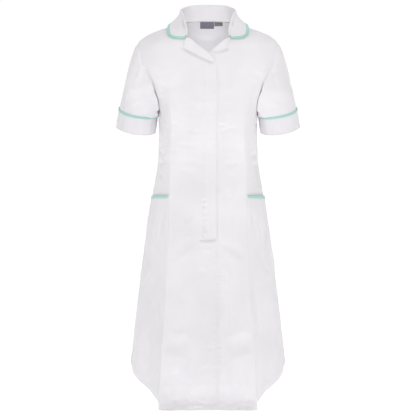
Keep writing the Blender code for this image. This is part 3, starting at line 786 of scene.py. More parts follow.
@dataclass(frozen=True)
class Crumples:
    """Patch of short uneven creases, such as wear and sitting leave."""

    # left, right, foot and top of the patch, as the chart says
    box: tuple[float, float, float, float]
    count: int  # how many creases it has
    length: float  # middle length of a crease, in millimetres
    height: float  # middle height
    lean: float = 0.0  # way that they run, in degrees from level
    spread: float = 35.0  # how far their ways differ, in degrees
    seed: int = 3  # seed of their places
    chart: Chart = Chart.FRONT  # how the box is given

    def creases(self) -> tuple[Crease, ...]:
        """The creases of the patch, more troughs than ridges."""
        rng = np.random.default_rng(self.seed)
        left, right, foot, top = self.box
        made = []
        for _ in range(self.count):
            x, z = rng.uniform(left, right), rng.uniform(foot, top)
            half = self.length * rng.uniform(0.35, 0.8)
            way = math.radians(self.lean + rng.uniform(-self.spread, self.spread))
            bend = half * rng.uniform(-0.35, 0.35)
            run, rise = math.cos(way), math.sin(way)
            flat = 1 / 160 if self.chart is Chart.ROUND else 1.0
            path = tuple((x + flat * (run * at - rise * off), z + rise * at + run * off)
                         for at, off in ((-half, 0.0), (0.0, bend), (half, 0.0)))
            height = self.height * rng.uniform(0.5, 1.4) * (-1 if rng.uniform() < 0.65 else 0.7)
            width = self.length * rng.uniform(0.16, 0.3)
            made.append(Crease(path, width, height, self.chart, (0.4, 0.4)))
        return tuple(made)


CRUMPLES = (
    Crumples((-92, 96, -300, -240), 14, 34, 0.9, 0, 28, 5),
    Crumples((-92, 96, -390, -305), 12, 40, 0.9, 0, 30, 9),
    Crumples((-88, 92, -240, -150), 6, 60, 1.2, -30, 60, 12),
    Crumples((-95, 100, -560, -400), 10, 55, 1.2, 70, 40, 15),
    Crumples((-95, 100, -800, -600), 12, 60, 1.3, 80, 50, 18),
    Crumples((-110, 112, -985, -880), 16, 50, 1.3, 60, 50, 22),
    Crumples((-122, 122, -1019, -992), 30, 27, 3.0, 0, 35, 24),
    Crumples((-0.97, -0.58, -400, -215), 9, 42, 1.6, -20, 35, 27, Chart.ROUND),
    Crumples((0.58, 0.97, -400, -215), 9, 42, 1.6, 20, 35, 30, Chart.ROUND),
    Crumples((-0.97, -0.56, -930, -480), 18, 60, 1.7, 80, 40, 33, Chart.ROUND),
    Crumples((0.56, 0.97, -930, -480), 18, 60, 1.4, 100, 30, 37, Chart.ROUND),
    Crumples((-82, 82, -420, -280), 18, 44, 2.0, 0, 30, 39, Chart.BACK),
    Crumples((-100, 100, -990, -480), 24, 64, 1.8, 85, 45, 42, Chart.BACK),
    Crumples((-95, 95, -260, -60), 10, 56, 1.5, 60, 60, 45, Chart.BACK),
    Crumples((1.04, 1.46, -930, -240), 16, 56, 1.8, 70, 50, 48, Chart.ROUND),
    Crumples((-1.46, -1.04, -930, -240), 16, 56, 1.8, 110, 50, 51, Chart.ROUND),
)

# Creases of the sides, as (s, z, s, z ..., width, height)
SIDE_CREASES = (
    (-0.92, -212, -0.76, -230, -0.6, -262, 13, -2.7),
    (0.92, -214, 0.78, -236, 0.63, -272, 13, -2.6),
    (-0.9, -240, -0.78, -264, -0.66, -300, 12, -1.9),
    (0.88, -246, 0.77, -268, 0.68, -292, 11, -1.8),
    (-0.56, -322, -0.74, -333, -0.94, -327, 11, -2.6),
    (0.58, -330, 0.76, -340, 0.96, -334, 11, -2.4),
    (-0.6, -352, -0.76, -360, -0.92, -356, 10, -1.9), (0.62, -362, 0.76, -368, 0.9, -362, 10, -1.8),
    (-0.7, -300, -0.84, -306, -0.98, -302, 9, 1.4), (0.68, -308, 0.82, -313, 0.96, -310, 9, 1.4),
    (-0.55, -470, -0.61, -528, -0.64, -596, 12, -2.3),
    (0.55, -474, 0.6, -522, 0.64, -580, 12, -2.2), (-0.72, -480, -0.74, -560, -0.73, -640, 16, 1.9),
    (0.74, -486, 0.75, -556, 0.76, -626, 15, 1.8), (-0.58, -690, -0.6, -790, -0.6, -900, 16, -3),
    (0.57, -700, 0.59, -800, 0.6, -880, 15, -2.8), (-0.9, -640, -0.94, -760, -0.95, -880, 18, -2.7),
    (0.91, -660, 0.95, -770, 0.95, -870, 17, -2.6), (-0.78, -800, -0.8, -870, -0.8, -940, 15, 2.4),
    (0.77, -810, 0.78, -880, 0.79, -936, 14, 2.3), (-0.64, -960, -0.74, -968, -0.84, -955, 9, -1.6),
    (0.66, -952, 0.76, -964, 0.86, -950, 9, -1.6), (-1.1, -226, -1.26, -252, -1.42, -288, 14, -3),
    (1.08, -222, 1.24, -246, 1.4, -280, 14, -2.8),
    (-1.06, -330, -1.24, -341, -1.46, -336, 13, -3.2),
    (1.08, -338, 1.26, -349, 1.48, -342, 13, -3.1),
    (-1.12, -366, -1.28, -374, -1.44, -368, 11, -2.2), (1.12, -374, 1.28, -382, 1.42, -376, 11, -2),
    (-1.1, -640, -1.08, -760, -1.1, -900, 20, 3.2), (1.1, -620, 1.09, -750, 1.1, -890, 20, 3.4),
    (-1.36, -600, -1.38, -730, -1.38, -860, 18, -3), (1.38, -590, 1.39, -720, 1.39, -870, 18, -2.8),
)

# Creases of the back, as (x, z, x, z ..., width, height)
BACK_CREASES = (
    (-152, -100, -138, -140, -118, -178, 16, -4.6), (153, -102, 139, -144, 117, -186, 16, -4.3),
    (-122, -92, -98, -146, -82, -206, 20, -3.5), (118, -96, 100, -152, 80, -212, 20, -3.2),
    (-64, -14, 0, -30, 62, -16, 15, -2), (-92, -52, -52, -66, -10, -70, 18, -1.6),
    (88, -56, 48, -72, 4, -78, 18, -1.5), (-86, -300, -50, -308, -12, -304, 12, -2.3),
    (10, -296, 48, -303, 86, -296, 12, -2.4), (-88, -326, -38, -338, 12, -332, 14, -3.8),
    (-22, -356, 32, -366, 86, -352, 15, -3.9), (-70, -346, -10, -350, 44, -342, 12, 2.3),
    (-76, -382, -34, -390, 8, -384, 12, -2.6), (22, -392, 50, -397, 82, -388, 11, -2),
    (-64, -404, -70, -470, -76, -566, 20, -3), (60, -412, 68, -484, 74, -570, 20, -2.7),
    (-22, -420, -24, -500, -28, -590, 22, 2.2), (26, -430, 30, -510, 30, -600, 20, 2),
    (-92, -985, -60, -996, -26, -990, 11, -2.4), (24, -992, 58, -1000, 92, -988, 11, -2.3),
)


def all_creases() -> list[Crease]:
    """Every crease of the body's cloth."""
    made = [Crease(*split(row), fade=fade) for fade, rows in FRONT_CREASES.items() for row in rows]
    made += [Crease(*split(row), Chart.ROUND) for row in SIDE_CREASES]
    made += [Crease(*split(row), Chart.BACK) for row in BACK_CREASES]
    return made + [crease for crumples in CRUMPLES for crease in crumples.creases()]


@dataclass(frozen=True)
class Pucker:
    """Row of small ripples across a sewn line."""

    line: Array  # points of the sewn line, in space
    pitch: float  # distance from one ripple to the next, in millimetres
    height: float  # height of the ripples
    reach: float  # how far they run from the line

    def at(self, points: Array) -> Array:
        """Height of the ripples.

        Args:
            points: Grid of points.

        Returns:
            Heights in millimetres, in the grid's shape.
        """
        flat = points.reshape(-1, 3)
        gap, share = nearest(flat, self.line)
        run = share * run_lengths(self.line, 0)[-1]
        phase = run / self.pitch + 0.35 * np.sin(run / 23.0) + 0.3 * np.sin(run / 57.0 + 1.0)
        size = self.height * (0.6 + 0.4 * np.sin(run / 41.0 + 2.0))
        ends = ease(share / 0.04) * ease((1 - share) / 0.04)
        ripples = size * np.sin(2 * np.pi * phase) * bump_at(gap, self.reach) * ends
        return ripples.reshape(points.shape[:-1])


def srgb(code: str) -> tuple[float, float, float, float]:
    """Linear colour of an sRGB hex code such as 9CCBC1."""
    parts = [int(code[i:i + 2], 16) / 255 for i in (0, 2, 4)]
    return (*((c / 12.92) if c <= 0.04045 else ((c + 0.055) / 1.055) ** 2.4 for c in parts), 1.0)


def add_node(tree: bpy.types.NodeTree, kind: str, links: dict | None = None,
             **settings: object) -> bpy.types.Node:
    """Adds a shader node.

    Args:
        tree: Node tree to add to.
        kind: Blender's name of the node type.
        links: Output sockets to join to inputs, by the input's name or number.
        settings: Values of inputs, with _ for a space, or of the node's own fields.

    Returns:
        The new node.
    """
    node = tree.nodes.new(kind)
    for name, value in settings.items():
        label = name.replace("_", " ")
        socket = next((i for i in node.inputs if i.name.lower() == label.lower()), None)
        if hasattr(node, name) or socket is None:
            setattr(node, name, value)
        else:
            socket.default_value = value
    for name, source in (links or {}).items():
        tree.links.new(source, node.inputs[name])
    return node


@dataclass(frozen=True)
class Weave:
    """Woven cloth as a shader."""

    name: str  # name of the material
    slot: Slot  # slot of the record that it fills
    pale: str  # colour of its lighter patches, as a hex code
    deep: str  # colour of its darker patches
    roughness: float  # how matt it is
    sheen: float  # weight of the soft glow of its fibre ends
    thread: float  # distance from one drawn thread to the next, in millimetres
    relief: float  # height of the threads, in millimetres
    rumple: float  # height of the faint rumples between creases, in millimetres
    depth: float = 0.3  # how far light spreads inside the cloth, in millimetres

    def build(self) -> bpy.types.Material:
        """Makes the material, or finds it where it is made already."""
        ready = bpy.data.materials.get(self.name)
        if ready is not None:
            return ready
        material = bpy.data.materials.new(self.name)
        material.use_nodes = True
        tree = material.node_tree
        tree.nodes.clear()
        add = partial(add_node, tree)
        flat = add("ShaderNodeUVMap", uv_map="cloth").outputs[0]
        space = add("ShaderNodeTexCoord").outputs["Object"]
        # a wave texture runs 20 / (2 pi) times a unit, and the map is in metres
        scale = 2 * math.pi / (20 * self.thread * MM)
        warp, weft = (add("ShaderNodeTexWave", {"Vector": flat}, Scale=scale, bands_direction=way,
                          Distortion=0.0).outputs["Fac"] for way in ("X", "Y"))
        threads = add("ShaderNodeMath", {0: warp, 1: weft}, operation="MULTIPLY")
        # slubs: some threads are thicker, a few millimetres long
        slub = add("ShaderNodeTexNoise", {"Vector": flat}, Scale=420.0, Detail=2.0)
        raised = add("ShaderNodeMath", {0: threads.outputs[0], 1: slub.outputs["Fac"]},
                     operation="ADD")
        rumple = add("ShaderNodeTexNoise", {"Vector": space}, Scale=38.0, Detail=3.0,
                     Roughness=0.45)
        soft = add("ShaderNodeBump", {"Height": rumple.outputs["Fac"]}, Strength=1.0,
                   Distance=self.rumple * MM)
        bump = add("ShaderNodeBump", {"Height": raised.outputs[0], "Normal": soft.outputs[0]},
                   Strength=1.0, Distance=self.relief * MM)
        patches = add("ShaderNodeTexNoise", {"Vector": space}, Scale=9.0, Detail=2.0)
        ramp = add("ShaderNodeValToRGB", {"Fac": patches.outputs["Fac"]})
        for stop, position, code in zip(ramp.color_ramp.elements, (0.32, 0.68),
                                        (self.deep, self.pale)):
            stop.position = position
            stop.color = srgb(code)
        shader = add("ShaderNodeBsdfPrincipled",
                     {"Base Color": ramp.outputs["Color"], "Normal": bump.outputs["Normal"]},
                     Roughness=self.roughness, IOR=1.5, Sheen_Weight=self.sheen,
                     Sheen_Roughness=0.5, Subsurface_Weight=1.0,
                     Subsurface_Radius=(1.0, 1.0, 1.0), Subsurface_Scale=self.depth * MM)
        add("ShaderNodeOutputMaterial", {"Surface": shader.outputs[0]})
        return material


# 65/35 polycotton, bleached white with a blue-violet brightener: matt, close
# plain weave. Its threads are 0.3 mm apart, too fine to draw, so drawn at 0.8 mm.
POLYCOTTON = Weave("white_polycotton", Slot.WHITE, "ECEAED", "E6E4E7", 0.82, 0.10, 0.8, 0.05, 0.35)
# Mint bias binding: the same weave dyed, with its fold lines a little fuller.
MINT_BINDING = Weave("mint_binding", Slot.MINT, "B0DDD3", "A8D7CC", 0.78, 0.15, 0.7, 0.06, 0.10)
# Woven satin label, grey: fine ribs across, some gloss
GREY_LABEL = Weave("grey_label_satin", Slot.GREY, "847C8C", "7C7685", 0.55, 0.05, 0.5, 0.04, 0.05)
# Woven size tab, dark grey, folded and plain
DARK_TAB = Weave("dark_size_tab", Slot.BLACK, "868085", "7F797E", 0.60, 0.05, 0.5, 0.04, 0.05)
# Spun polyester sewing thread, white: smoother than the cloth, twisted
SEWING_THREAD = Weave("white_thread", Slot.WHITE, "E8E5EC", "E2DFE6", 0.60, 0.10, 0.4, 0.04, 0.0)


@dataclass(frozen=True)
class Cut:
    """Flat piece of cloth that a shown piece was cut from."""

    width: float  # width of the flat piece, in metres
    length: float  # length of the flat piece, in metres
    held: Held = Held.HUNG  # how the piece is held
    area: float | None = None  # flat area in square metres, where the cut isn't a rectangle


def make_object(name: str, points: Array, faces: Array, corners: Array, weave: Weave,
                node: str = "", sharp: float = 40.0, mend: bool = False) -> bpy.types.Object:
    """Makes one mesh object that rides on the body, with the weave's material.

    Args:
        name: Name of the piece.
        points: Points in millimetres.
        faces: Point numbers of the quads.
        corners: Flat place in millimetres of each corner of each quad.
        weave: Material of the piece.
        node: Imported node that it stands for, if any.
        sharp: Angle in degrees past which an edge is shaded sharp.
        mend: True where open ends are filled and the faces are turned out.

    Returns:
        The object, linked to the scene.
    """
    mesh = bpy.data.meshes.new(name)
    mesh.from_pydata((points * MM).tolist(), [], faces.tolist())
    layer = mesh.uv_layers.new(name="cloth")
    layer.data.foreach_set("uv", (corners.reshape(-1, 2) * MM).ravel())
    mesh.shade_smooth()
    mesh.set_sharp_from_angle(angle=math.radians(sharp))
    mesh.materials.append(weave.build())
    mesh.validate()
    if mend:
        work = bmesh.new()
        work.from_mesh(mesh)
        bmesh.ops.holes_fill(work, edges=[e for e in work.edges if e.is_boundary], sides=0)
        bmesh.ops.recalc_face_normals(work, faces=work.faces)
        work.to_mesh(mesh)
        work.free()
    thing = bpy.data.objects.new(name, mesh)
    bpy.context.scene.collection.objects.link(thing)
    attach(thing, BODY_NAME)
    if node:
        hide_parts(node)
    LOG.info("%s: %d faces", name, len(mesh.polygons))
    return thing


def quad_grid(rows: int, cols: int, wrap_rows: bool, wrap_cols: bool) -> tuple[Array, Array, Array]:
    """Quads of a grid of points.

    Args:
        rows: Rows of points.
        cols: Points in a row.
        wrap_rows: True where the last row joins the first.
        wrap_cols: True where the last column joins the first.

    Returns:
        Row and column of each quad's first corner, and its point numbers.
    """
    k, i = (g.ravel() for g in np.meshgrid(np.arange(rows - 1 + wrap_rows),
                                           np.arange(cols - 1 + wrap_cols), indexing="ij"))
    up, over = (k + 1) % rows * cols, (i + 1) % cols
    return k, i, np.stack([k * cols + i, k * cols + over, up + over, up + i], axis=-1)


def corner_places(flat: Array, k: Array, i: Array) -> Array:
    """Flat place of each corner of the quads of a grid."""
    return np.stack([flat[k, i], flat[k, i + 1], flat[k + 1, i + 1], flat[k + 1, i]], axis=1)


def shell(name: str, outer: Array, inner: Array, weave: Weave, node: str,
          ring: bool = False) -> bpy.types.Object:
    """Closed thin sheet between two grids of points.

    Args:
        name: Name of the piece.
        outer: Grid of points of the face that shows.
        inner: Grid of points of the other face.
        weave: Material of the sheet.
        node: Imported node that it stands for.
        ring: True where the last column joins the first.

    Returns:
        The object.
    """
    rows, cols = outer.shape[:2]
    wrapped = np.concatenate([outer, outer[:, :1]], axis=1) if ring else outer
    flat = np.stack([run_lengths(wrapped, 1), run_lengths(wrapped, 0)], axis=-1)
    k, i, top = quad_grid(rows, cols, False, ring)
    total = rows * cols
    top_flat = corner_places(flat, k, i)
    faces, corners = [top, top[:, ::-1] + total], [top_flat, top_flat[:, ::-1]]
    # each border is closed by a wall, from its quads and two of their corners
    borders = [(k == 0, 0, 1), (k == rows - 2, 2, 3)]
    if not ring:
        borders += [(i == 0, 3, 0), (i == cols - 2, 1, 2)]
    for chosen, first, second in borders:
        a, b = top[chosen, first], top[chosen, second]
        faces.append(np.stack([b, a, a + total, b + total], axis=-1))
        a, b = top_flat[chosen, first], top_flat[chosen, second]
        corners.append(np.stack([b, a, a + 0.5, b + 0.5], axis=1))
    points = np.concatenate([outer.reshape(-1, 3), inner.reshape(-1, 3)])
    quads, places = np.concatenate(faces), np.concatenate(corners)
    a, b, c = (points[top[:, n]] for n in (0, 1, 3))
    outward = np.einsum("ij,ij->i", np.cross(b - a, c - a), a - points[top[:, 0] + total])
    if outward.sum() < 0:
        quads, places = quads[:, ::-1], places[:, ::-1]
    return make_object(name, points, quads, places, weave, node)


def swept(name: str, line: tuple[Array, Array, Array], width: float, depth: float, weave: Weave,
          node: str, ring: bool = False) -> bpy.types.Object:
    """Flat binding swept along a line.

    Args:
        name: Name of the piece.
        line: Points of the line, with unit ways across the binding and out of its face.
        width: Width of the binding.
        depth: Thickness of the binding.
        weave: Its material.
        node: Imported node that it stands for.
        ring: True where it closes on itself.

    Returns:
        The object.
    """
    middle, wide, thick = line
    turn = 2 * np.pi * np.arange(SWEPT_CORNERS) / SWEPT_CORNERS
    # a rounded flat section: the cosine and sine to a power below one
    across = np.sign(np.cos(turn)) * np.abs(np.cos(turn)) ** 0.75
    proud = np.sign(np.sin(turn)) * np.abs(np.sin(turn)) ** 0.6
    grid = (middle[:, None] + wide[:, None] * across[None, :, None] * width / 2
            + thick[:, None] * proud[None, :, None] * depth / 2)
    k, c, quads = quad_grid(len(middle), SWEPT_CORNERS, ring, True)
    along = run_lengths(np.concatenate([middle, middle[:1]]), 0)
    round_way = np.arange(SWEPT_CORNERS + 1) * (2 * width / SWEPT_CORNERS)
    places = corner_places(np.stack(np.meshgrid(round_way, along), axis=-1), k, c)
    return make_object(name, grid.reshape(-1, 3), quads, places, weave, node, 70.0, mend=True)


@dataclass(frozen=True)
class Stitches:
    """Row of lockstitches on a sewn line."""

    length: float = 2.5  # length of a stitch, in millimetres
    gap: float = 0.8  # gap between stitches
    radius: float = 0.24  # radius of the thread

    def parts(self, path: Array, outs: Array) -> tuple[Array, Array]:
        """Points and quads of the stitches along a path.

        Args:
            path: Points on the cloth.
            outs: Ways out of the cloth there.

        Returns:
            Points, and the point numbers of the quads.
        """
        run = run_lengths(path, 0)
        count = max(1, int(run[-1] / (self.length + self.gap)))
        begin = (np.arange(count) + 0.1) * run[-1] / count
        shares = np.array([0.0, 0.14, 0.5, 0.86, 1.0])
        swell = np.array([0.45, 0.95, 1.0, 0.95, 0.45]) * self.radius
        rise = np.array([-0.5, 0.35, 0.75, 0.35, -0.5]) * self.radius
        at = begin[:, None] + shares * self.length
        middle = np.stack([np.interp(at, run, path[:, n]) for n in range(3)], axis=-1)
        out = unit(np.stack([np.interp(at, run, outs[:, n]) for n in range(3)], axis=-1))
        along = unit(middle[:, -1:] - middle[:, :1])
        across = np.cross(along, out)
        turn = np.pi / 2 * np.arange(4)
        high = rise[:, None] + swell[:, None] * np.sin(turn)
        wide = swell[:, None] * np.cos(turn)
        points = (middle[:, :, None] + out[:, :, None] * high[..., None]
                  + across[:, :, None] * wide[..., None])
        sides = quad_grid(5, 4, False, True)[2]
        caps = np.array([[3, 2, 1, 0], [16, 17, 18, 19]])
        base = np.arange(count)[:, None, None] * 20
        quads = (np.concatenate([sides, caps])[None] + base).reshape(-1, 4)
        return points.reshape(-1, 3), quads

    def sew(self, name: str, lines: Sequence[tuple[Array, Array]]) -> bpy.types.Object:
        """Makes one object with the stitches of some lines.

        Args:
            name: Name of the object.
            lines: Path and ways out of each line.

        Returns:
            The object, riding on the body.
        """
        points, quads, total = [], [], 0
        for path, outs in lines:
            some, faces = self.parts(path, outs)
            points.append(some)
            quads.append(faces + total)
            total += len(some)
        joined = np.concatenate(quads)
        return make_object(name, np.concatenate(points), joined, np.zeros((len(joined), 4, 2)),
                           SEWING_THREAD, sharp=60.0)


def shares_of(length: float, pitch: float) -> Array:
    """Shares of a length for the rows of a fine grid, closer at both ends.

    Args:
        length: The length.
        pitch: Distance between rows.

    Returns:
        Rising shares from 0 to 1.
    """
    count = max(3, round(length / pitch))
    near = np.array([0.25, 0.6]) / count
    return np.unique(np.concatenate([np.linspace(0, 1, count + 1), near, 1 - near]))


def refine(places: Array, breaks: Sequence[int], pitch: float) -> Array:
    """Fine grid through the places of a coarse one.

    Args:
        places: Coarse grid of places (s, z).
        breaks: Rows where an edge turns a corner.
        pitch: Distance between the fine points, in millimetres.

    Returns:
        The fine grid of places.
    """
    solid = FORM.body(places[..., 0], places[..., 1])
    across = np.linalg.norm(np.diff(solid, axis=1), axis=-1).mean(axis=0)
    up = np.linalg.norm(np.diff(solid, axis=0), axis=-1).mean(axis=1)
    columns = np.concatenate([[0], np.cumsum(across)])
    wide = blend(columns, np.swapaxes(places, 0, 1), columns[-1] * shares_of(columns[-1], pitch))
    wide = np.swapaxes(wide, 0, 1)
    bands = []
    ends = [0, *breaks, len(places) - 1]
    for first, last in zip(ends, ends[1:]):
        stations = np.concatenate([[0], np.cumsum(up[first:last])])
        fine = blend(stations, wide[first:last + 1], stations[-1] * shares_of(stations[-1], pitch))
        bands.append(fine if not bands else fine[1:])
    return np.concatenate(bands)


@dataclass
class Panel:
    """One cut panel of cloth on the body."""

    name: str  # name of the piece
    node: str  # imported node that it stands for
    places: Array  # coarse grid of places, as for the wearer's left
    side: Side  # half of the dress that it is on
    relief: Relief  # creases of the cloth
    cut: Cut  # its flat cut
    lift: Lift | float = 0.0  # lift over the body surface, in millimetres
    seams: tuple[str, ...] = ()  # borders that are sewn into a seam, where the cloth turns in
    breaks: tuple[int, ...] = ()  # rows where an edge turns a corner
    hem: bool = False  # true where the lowest row is the turned-up hem
    puckers: tuple[Pucker, ...] = ()  # ripples along sewn lines
    weave: Weave = POLYCOTTON  # its material
    pitch: float = PITCH  # distance between its points
    thickness: float = CLOTH  # thickness of the sheet
    hem_lean: float = 0.0  # how far the hem's edge leans in

    def lift_at(self, s: Array, z: Array) -> Array:
        """Height of the cloth over the smooth body, apart from its seams.

        Args:
            s: Places round the section, as for the wearer's left.
            z: Heights.

        Returns:
            Heights of the cloth in millimetres.
        """
        base = FORM.body(self.side.value * s, z)
        total = self.lift(s, z) if callable(self.lift) else np.full_like(z, self.lift)
        total = total + self.relief.at(base)
        for pucker in self.puckers:
            total = total + pucker.at(base)
        if self.hem:
            up = z - hem_z(s)
            total = total + HEM_SWELL * ease((HEM_DEPTH - up) / 2)
            total = total - HEM_GROOVE * bump_at(up - HEM_STITCH_UP, 1.5)
            total = total - self.hem_lean * np.clip((HEM_DEPTH - up) / HEM_DEPTH, 0, 1)
        return total

    def surface(self, s: Array, z: Array) -> tuple[Array, Array]:
        """Points on the cloth that shows, and the ways out there."""
        signed = self.side.value * s
        return FORM.place(signed, z, self.lift_at(s, z)), unit(FORM.out(signed, z))

    def build(self) -> bpy.types.Object:
        """Makes the panel as a closed thin sheet."""
        grid = refine(self.places, self.breaks, self.pitch)
        s, z = grid[..., 0], grid[..., 1]
        signed = self.side.value * s
        base = FORM.body(signed, z)
        total = self.lift_at(s, z)
        across, up = run_lengths(base, 1), run_lengths(base, 0)
        gaps = {"left": across, "right": across[:, -1:] - across, "foot": up, "top": up[-1:] - up}
        for edge in self.seams:
            total = total - SEAM_DIP * bump_at(gaps[edge], SEAM_REACH)
        thickness = np.full_like(z, self.thickness)
        if self.hem:
            thickness = thickness + self.thickness * ease((HEM_DEPTH - (z - hem_z(s))) / 3)
        out = FORM.out(signed, z)
        outer = base + out * total[..., None]
        inner = base + out * (total - thickness)[..., None]
        return shell(self.name, outer, inner, self.weave, self.node)


def along_hem(panel: Panel, first: float, last: float) -> tuple[Array, Array]:
    """Line of the hem's stitches on a panel."""
    s = np.linspace(first, last, 160)
    return panel.surface(s, hem_z(s) + HEM_STITCH_UP)


def plumb(x: float, top: float, foot: float, count: int = 260) -> tuple[Array, Array]:
    """Places on an upright line at a distance from the centre."""
    z = np.linspace(top, foot, count)
    return FORM.s_at(np.full_like(z, x), z), z


@dataclass
class Fronts:
    """Centre fronts that meet in the middle, with the concealed closing's placket."""

    relief: Relief  # creases of the cloth
    fly_inner: float = 12.0  # stitched edge of the placket from the centre
    fly_outer: float = -22.5  # its free edge, on the other side of the centre
    fly_top: float = -92.0  # height of the placket's top
    fly_foot: float = -554.0  # height of its foot
    fly_gape: float = 4.2  # how far the foot stands open
    # puckered sewn line on the under front
    edge_seam: tuple[float, float, float] = (31.0, -640.0, -995.0)
    # rows of stitches below the placket's foot
    foot_stitches: tuple[float, float] = (14.0, 22.0)
    cut: Cut = Cut(0.215, 1.075, area=0.165)  # flat cut of a half front
    fly_cut: Cut = Cut(0.037, 0.472)  # flat cut of the placket

    def _line(self, side: Side, x: float, top: float, foot: float) -> Array:
        """Upright line on the smooth body."""
        s, z = plumb(x, top, foot, 40)
        return FORM.body(side.value * s, z)

    def _fly_lift(self, s: Array, z: Array) -> Array:
        """Lift of the placket: flat on its stitched side, open at its foot.

        Args:
            s: Places round the section, above zero on its stitched side.
            z: Heights.

        Returns:
            Lifts in millimetres.
        """
        out = self.fly_inner - from_centre(s, z)
        foot = ease((self.fly_foot + 60 - z) / 60)
        middle = np.sin(np.pi * np.clip(out / (self.fly_inner - self.fly_outer), 0, 1))
        return (OVERLAP_LIFT + CLOTH + 0.15 + 0.45 * ease(out / 9)
                + self.fly_gape * foot * (0.3 + 0.7 * middle))

    def build(self) -> list[bpy.types.Object]:
        """Makes both fronts, the placket and their stitches."""
        places, seams = front_places(), ("right", "top")
        x, top, foot = self.edge_seam
        stitched = Pucker(self._line(Side.RIGHT, self.fly_inner, -150, self.fly_foot + 4),
                          15.0, 0.3, 9.0)
        puckered = Pucker(self._line(Side.LEFT, x, top, foot), 11.0, 0.75, 6.5)
        edge = Pucker(self._line(Side.RIGHT, -EDGE_X + 3, -580, -1000), 17.0, 0.4, 8.0)
        right = Panel("cloth_centre_front_right", "centre_front_right", places, Side.RIGHT,
                      self.relief, self.cut, overlap_lift, seams, (TOP_ROW,), True,
                      (stitched, edge))
        left = Panel("cloth_centre_front_left", "centre_front_left", places, Side.LEFT,
                     self.relief, self.cut, 0.0, seams, (TOP_ROW,), True, (puckered,))
        levels = [float(row_z(k, np.array([0.0]))[0]) for k in range(len(ROWS))]
        levels = [z for z in levels if self.fly_foot + 5 < z < self.fly_top - 5]
        across = (self.fly_inner, 0.001, self.fly_outer)
        strip = np.array([[(float(FORM.s_at(x, z)), z) for x in across]
                          for z in (self.fly_foot, *levels, self.fly_top)])
        fly = Panel("cloth_fly_placket", "fly_placket", strip, Side.RIGHT, self.relief,
                    self.fly_cut, self._fly_lift, puckers=(stitched,), pitch=2.6, thickness=0.7)
        made = [panel.build() for panel in (right, left, fly)]
        foot_x = np.linspace(self.fly_inner - 2, self.fly_outer + 2, 30)
        foot_s = FORM.s_at(foot_x, self.fly_foot + 1.0)
        rows = [fly.surface(*plumb(self.fly_inner - 1.6, self.fly_top - 2, self.fly_foot + 3)),
                right.surface(*plumb(-EDGE_X + 4.5, -570, -1012)),
                along_hem(right, float(FORM.s_at(-EDGE_X, -1000)), 0.49),
                *(right.surface(foot_s, np.full_like(foot_s, self.fly_foot - under))
                  for under in self.foot_stitches)]
        sewn_right = Stitches().sew("stitches_front_right", rows)
        sewn_left = Stitches().sew("stitches_front_left", [
            left.surface(*plumb(x, top, foot)), left.surface(*plumb(41.0, -262, -372)),
            along_hem(left, float(FORM.s_at(EDGE_X + 3, -1000)), 0.49)])
        return made + [sewn_right, sewn_left]


@dataclass
class Sides:
    """Side fronts, the lower side panels that make the pockets, and their trims."""

    relief: Relief  # creases of the cloth
    trim_width: float = 7.5  # width of the pocket trim
    upper_cut: Cut = Cut(0.145, 0.478, area=0.053)  # flat cut of a side front with the pocket back
    lower_cut: Cut = Cut(0.185, 0.590, area=0.085)  # flat cut of a lower side panel
    trim_cut: Cut = Cut(0.107, 0.0105, Held.STRETCHED)  # flat cut of a pocket trim

    def _trim_lift(self, s: Array, z: Array) -> Array:
        """Lift of the trim, crowned a little across its width.

        Args:
            s: Places round the section.
            z: Heights.

        Returns:
            Lifts in millimetres.
        """
        mouth = mouth_z(s)
        crown = np.sin(np.pi * np.clip((mouth - z) / self.trim_width, 0, 1))
        return pocket_lift(s, np.minimum(z, mouth)) + 0.85 + 0.45 * crown

    def build(self) -> list[bpy.types.Object]:
        """Makes the six panels, the trims and the stitches."""
        made = []
        upper, lower = side_places(POCKET_FLOOR_ROW, TOP_ROW, LOWER_STEPS), pocket_places()
        t = np.linspace(0.504, 0.996, 11)
        trim = np.array([np.stack([t, mouth_z(t) - down], axis=-1)
                         for down in (self.trim_width, self.trim_width / 2, -0.4)])
        for side in Side:
            word = side.word
            back = Panel(f"cloth_side_front_{word}", f"side_front_{word}", upper, side, self.relief,
                         self.upper_cut, seams=("left", "right", "top"))
            skirt = Panel(f"cloth_pocket_skirt_{word}", f"pocket_skirt_{word}", lower, side,
                          self.relief, self.lower_cut, pocket_lift, ("left", "right"), hem=True,
                          hem_lean=3.5)
            band = Panel(f"binding_pocket_{word}", f"pocket_trim_{word}", trim, side, self.relief,
                         self.trim_cut, self._trim_lift, weave=MINT_BINDING, pitch=1.6,
                         thickness=0.7)
            pieces = [panel.build() for panel in (back, skirt, band)]
            inner = np.linspace(0.51, 0.99, 80)
            sewn = Stitches().sew(f"stitches_pocket_{word}", [
                skirt.surface(inner, mouth_z(inner) - self.trim_width - 1.6),
                band.surface(inner, mouth_z(inner) - self.trim_width + 0.9),
                along_hem(skirt, 0.51, 0.99)])
            made += [*pieces, sewn]
        return made


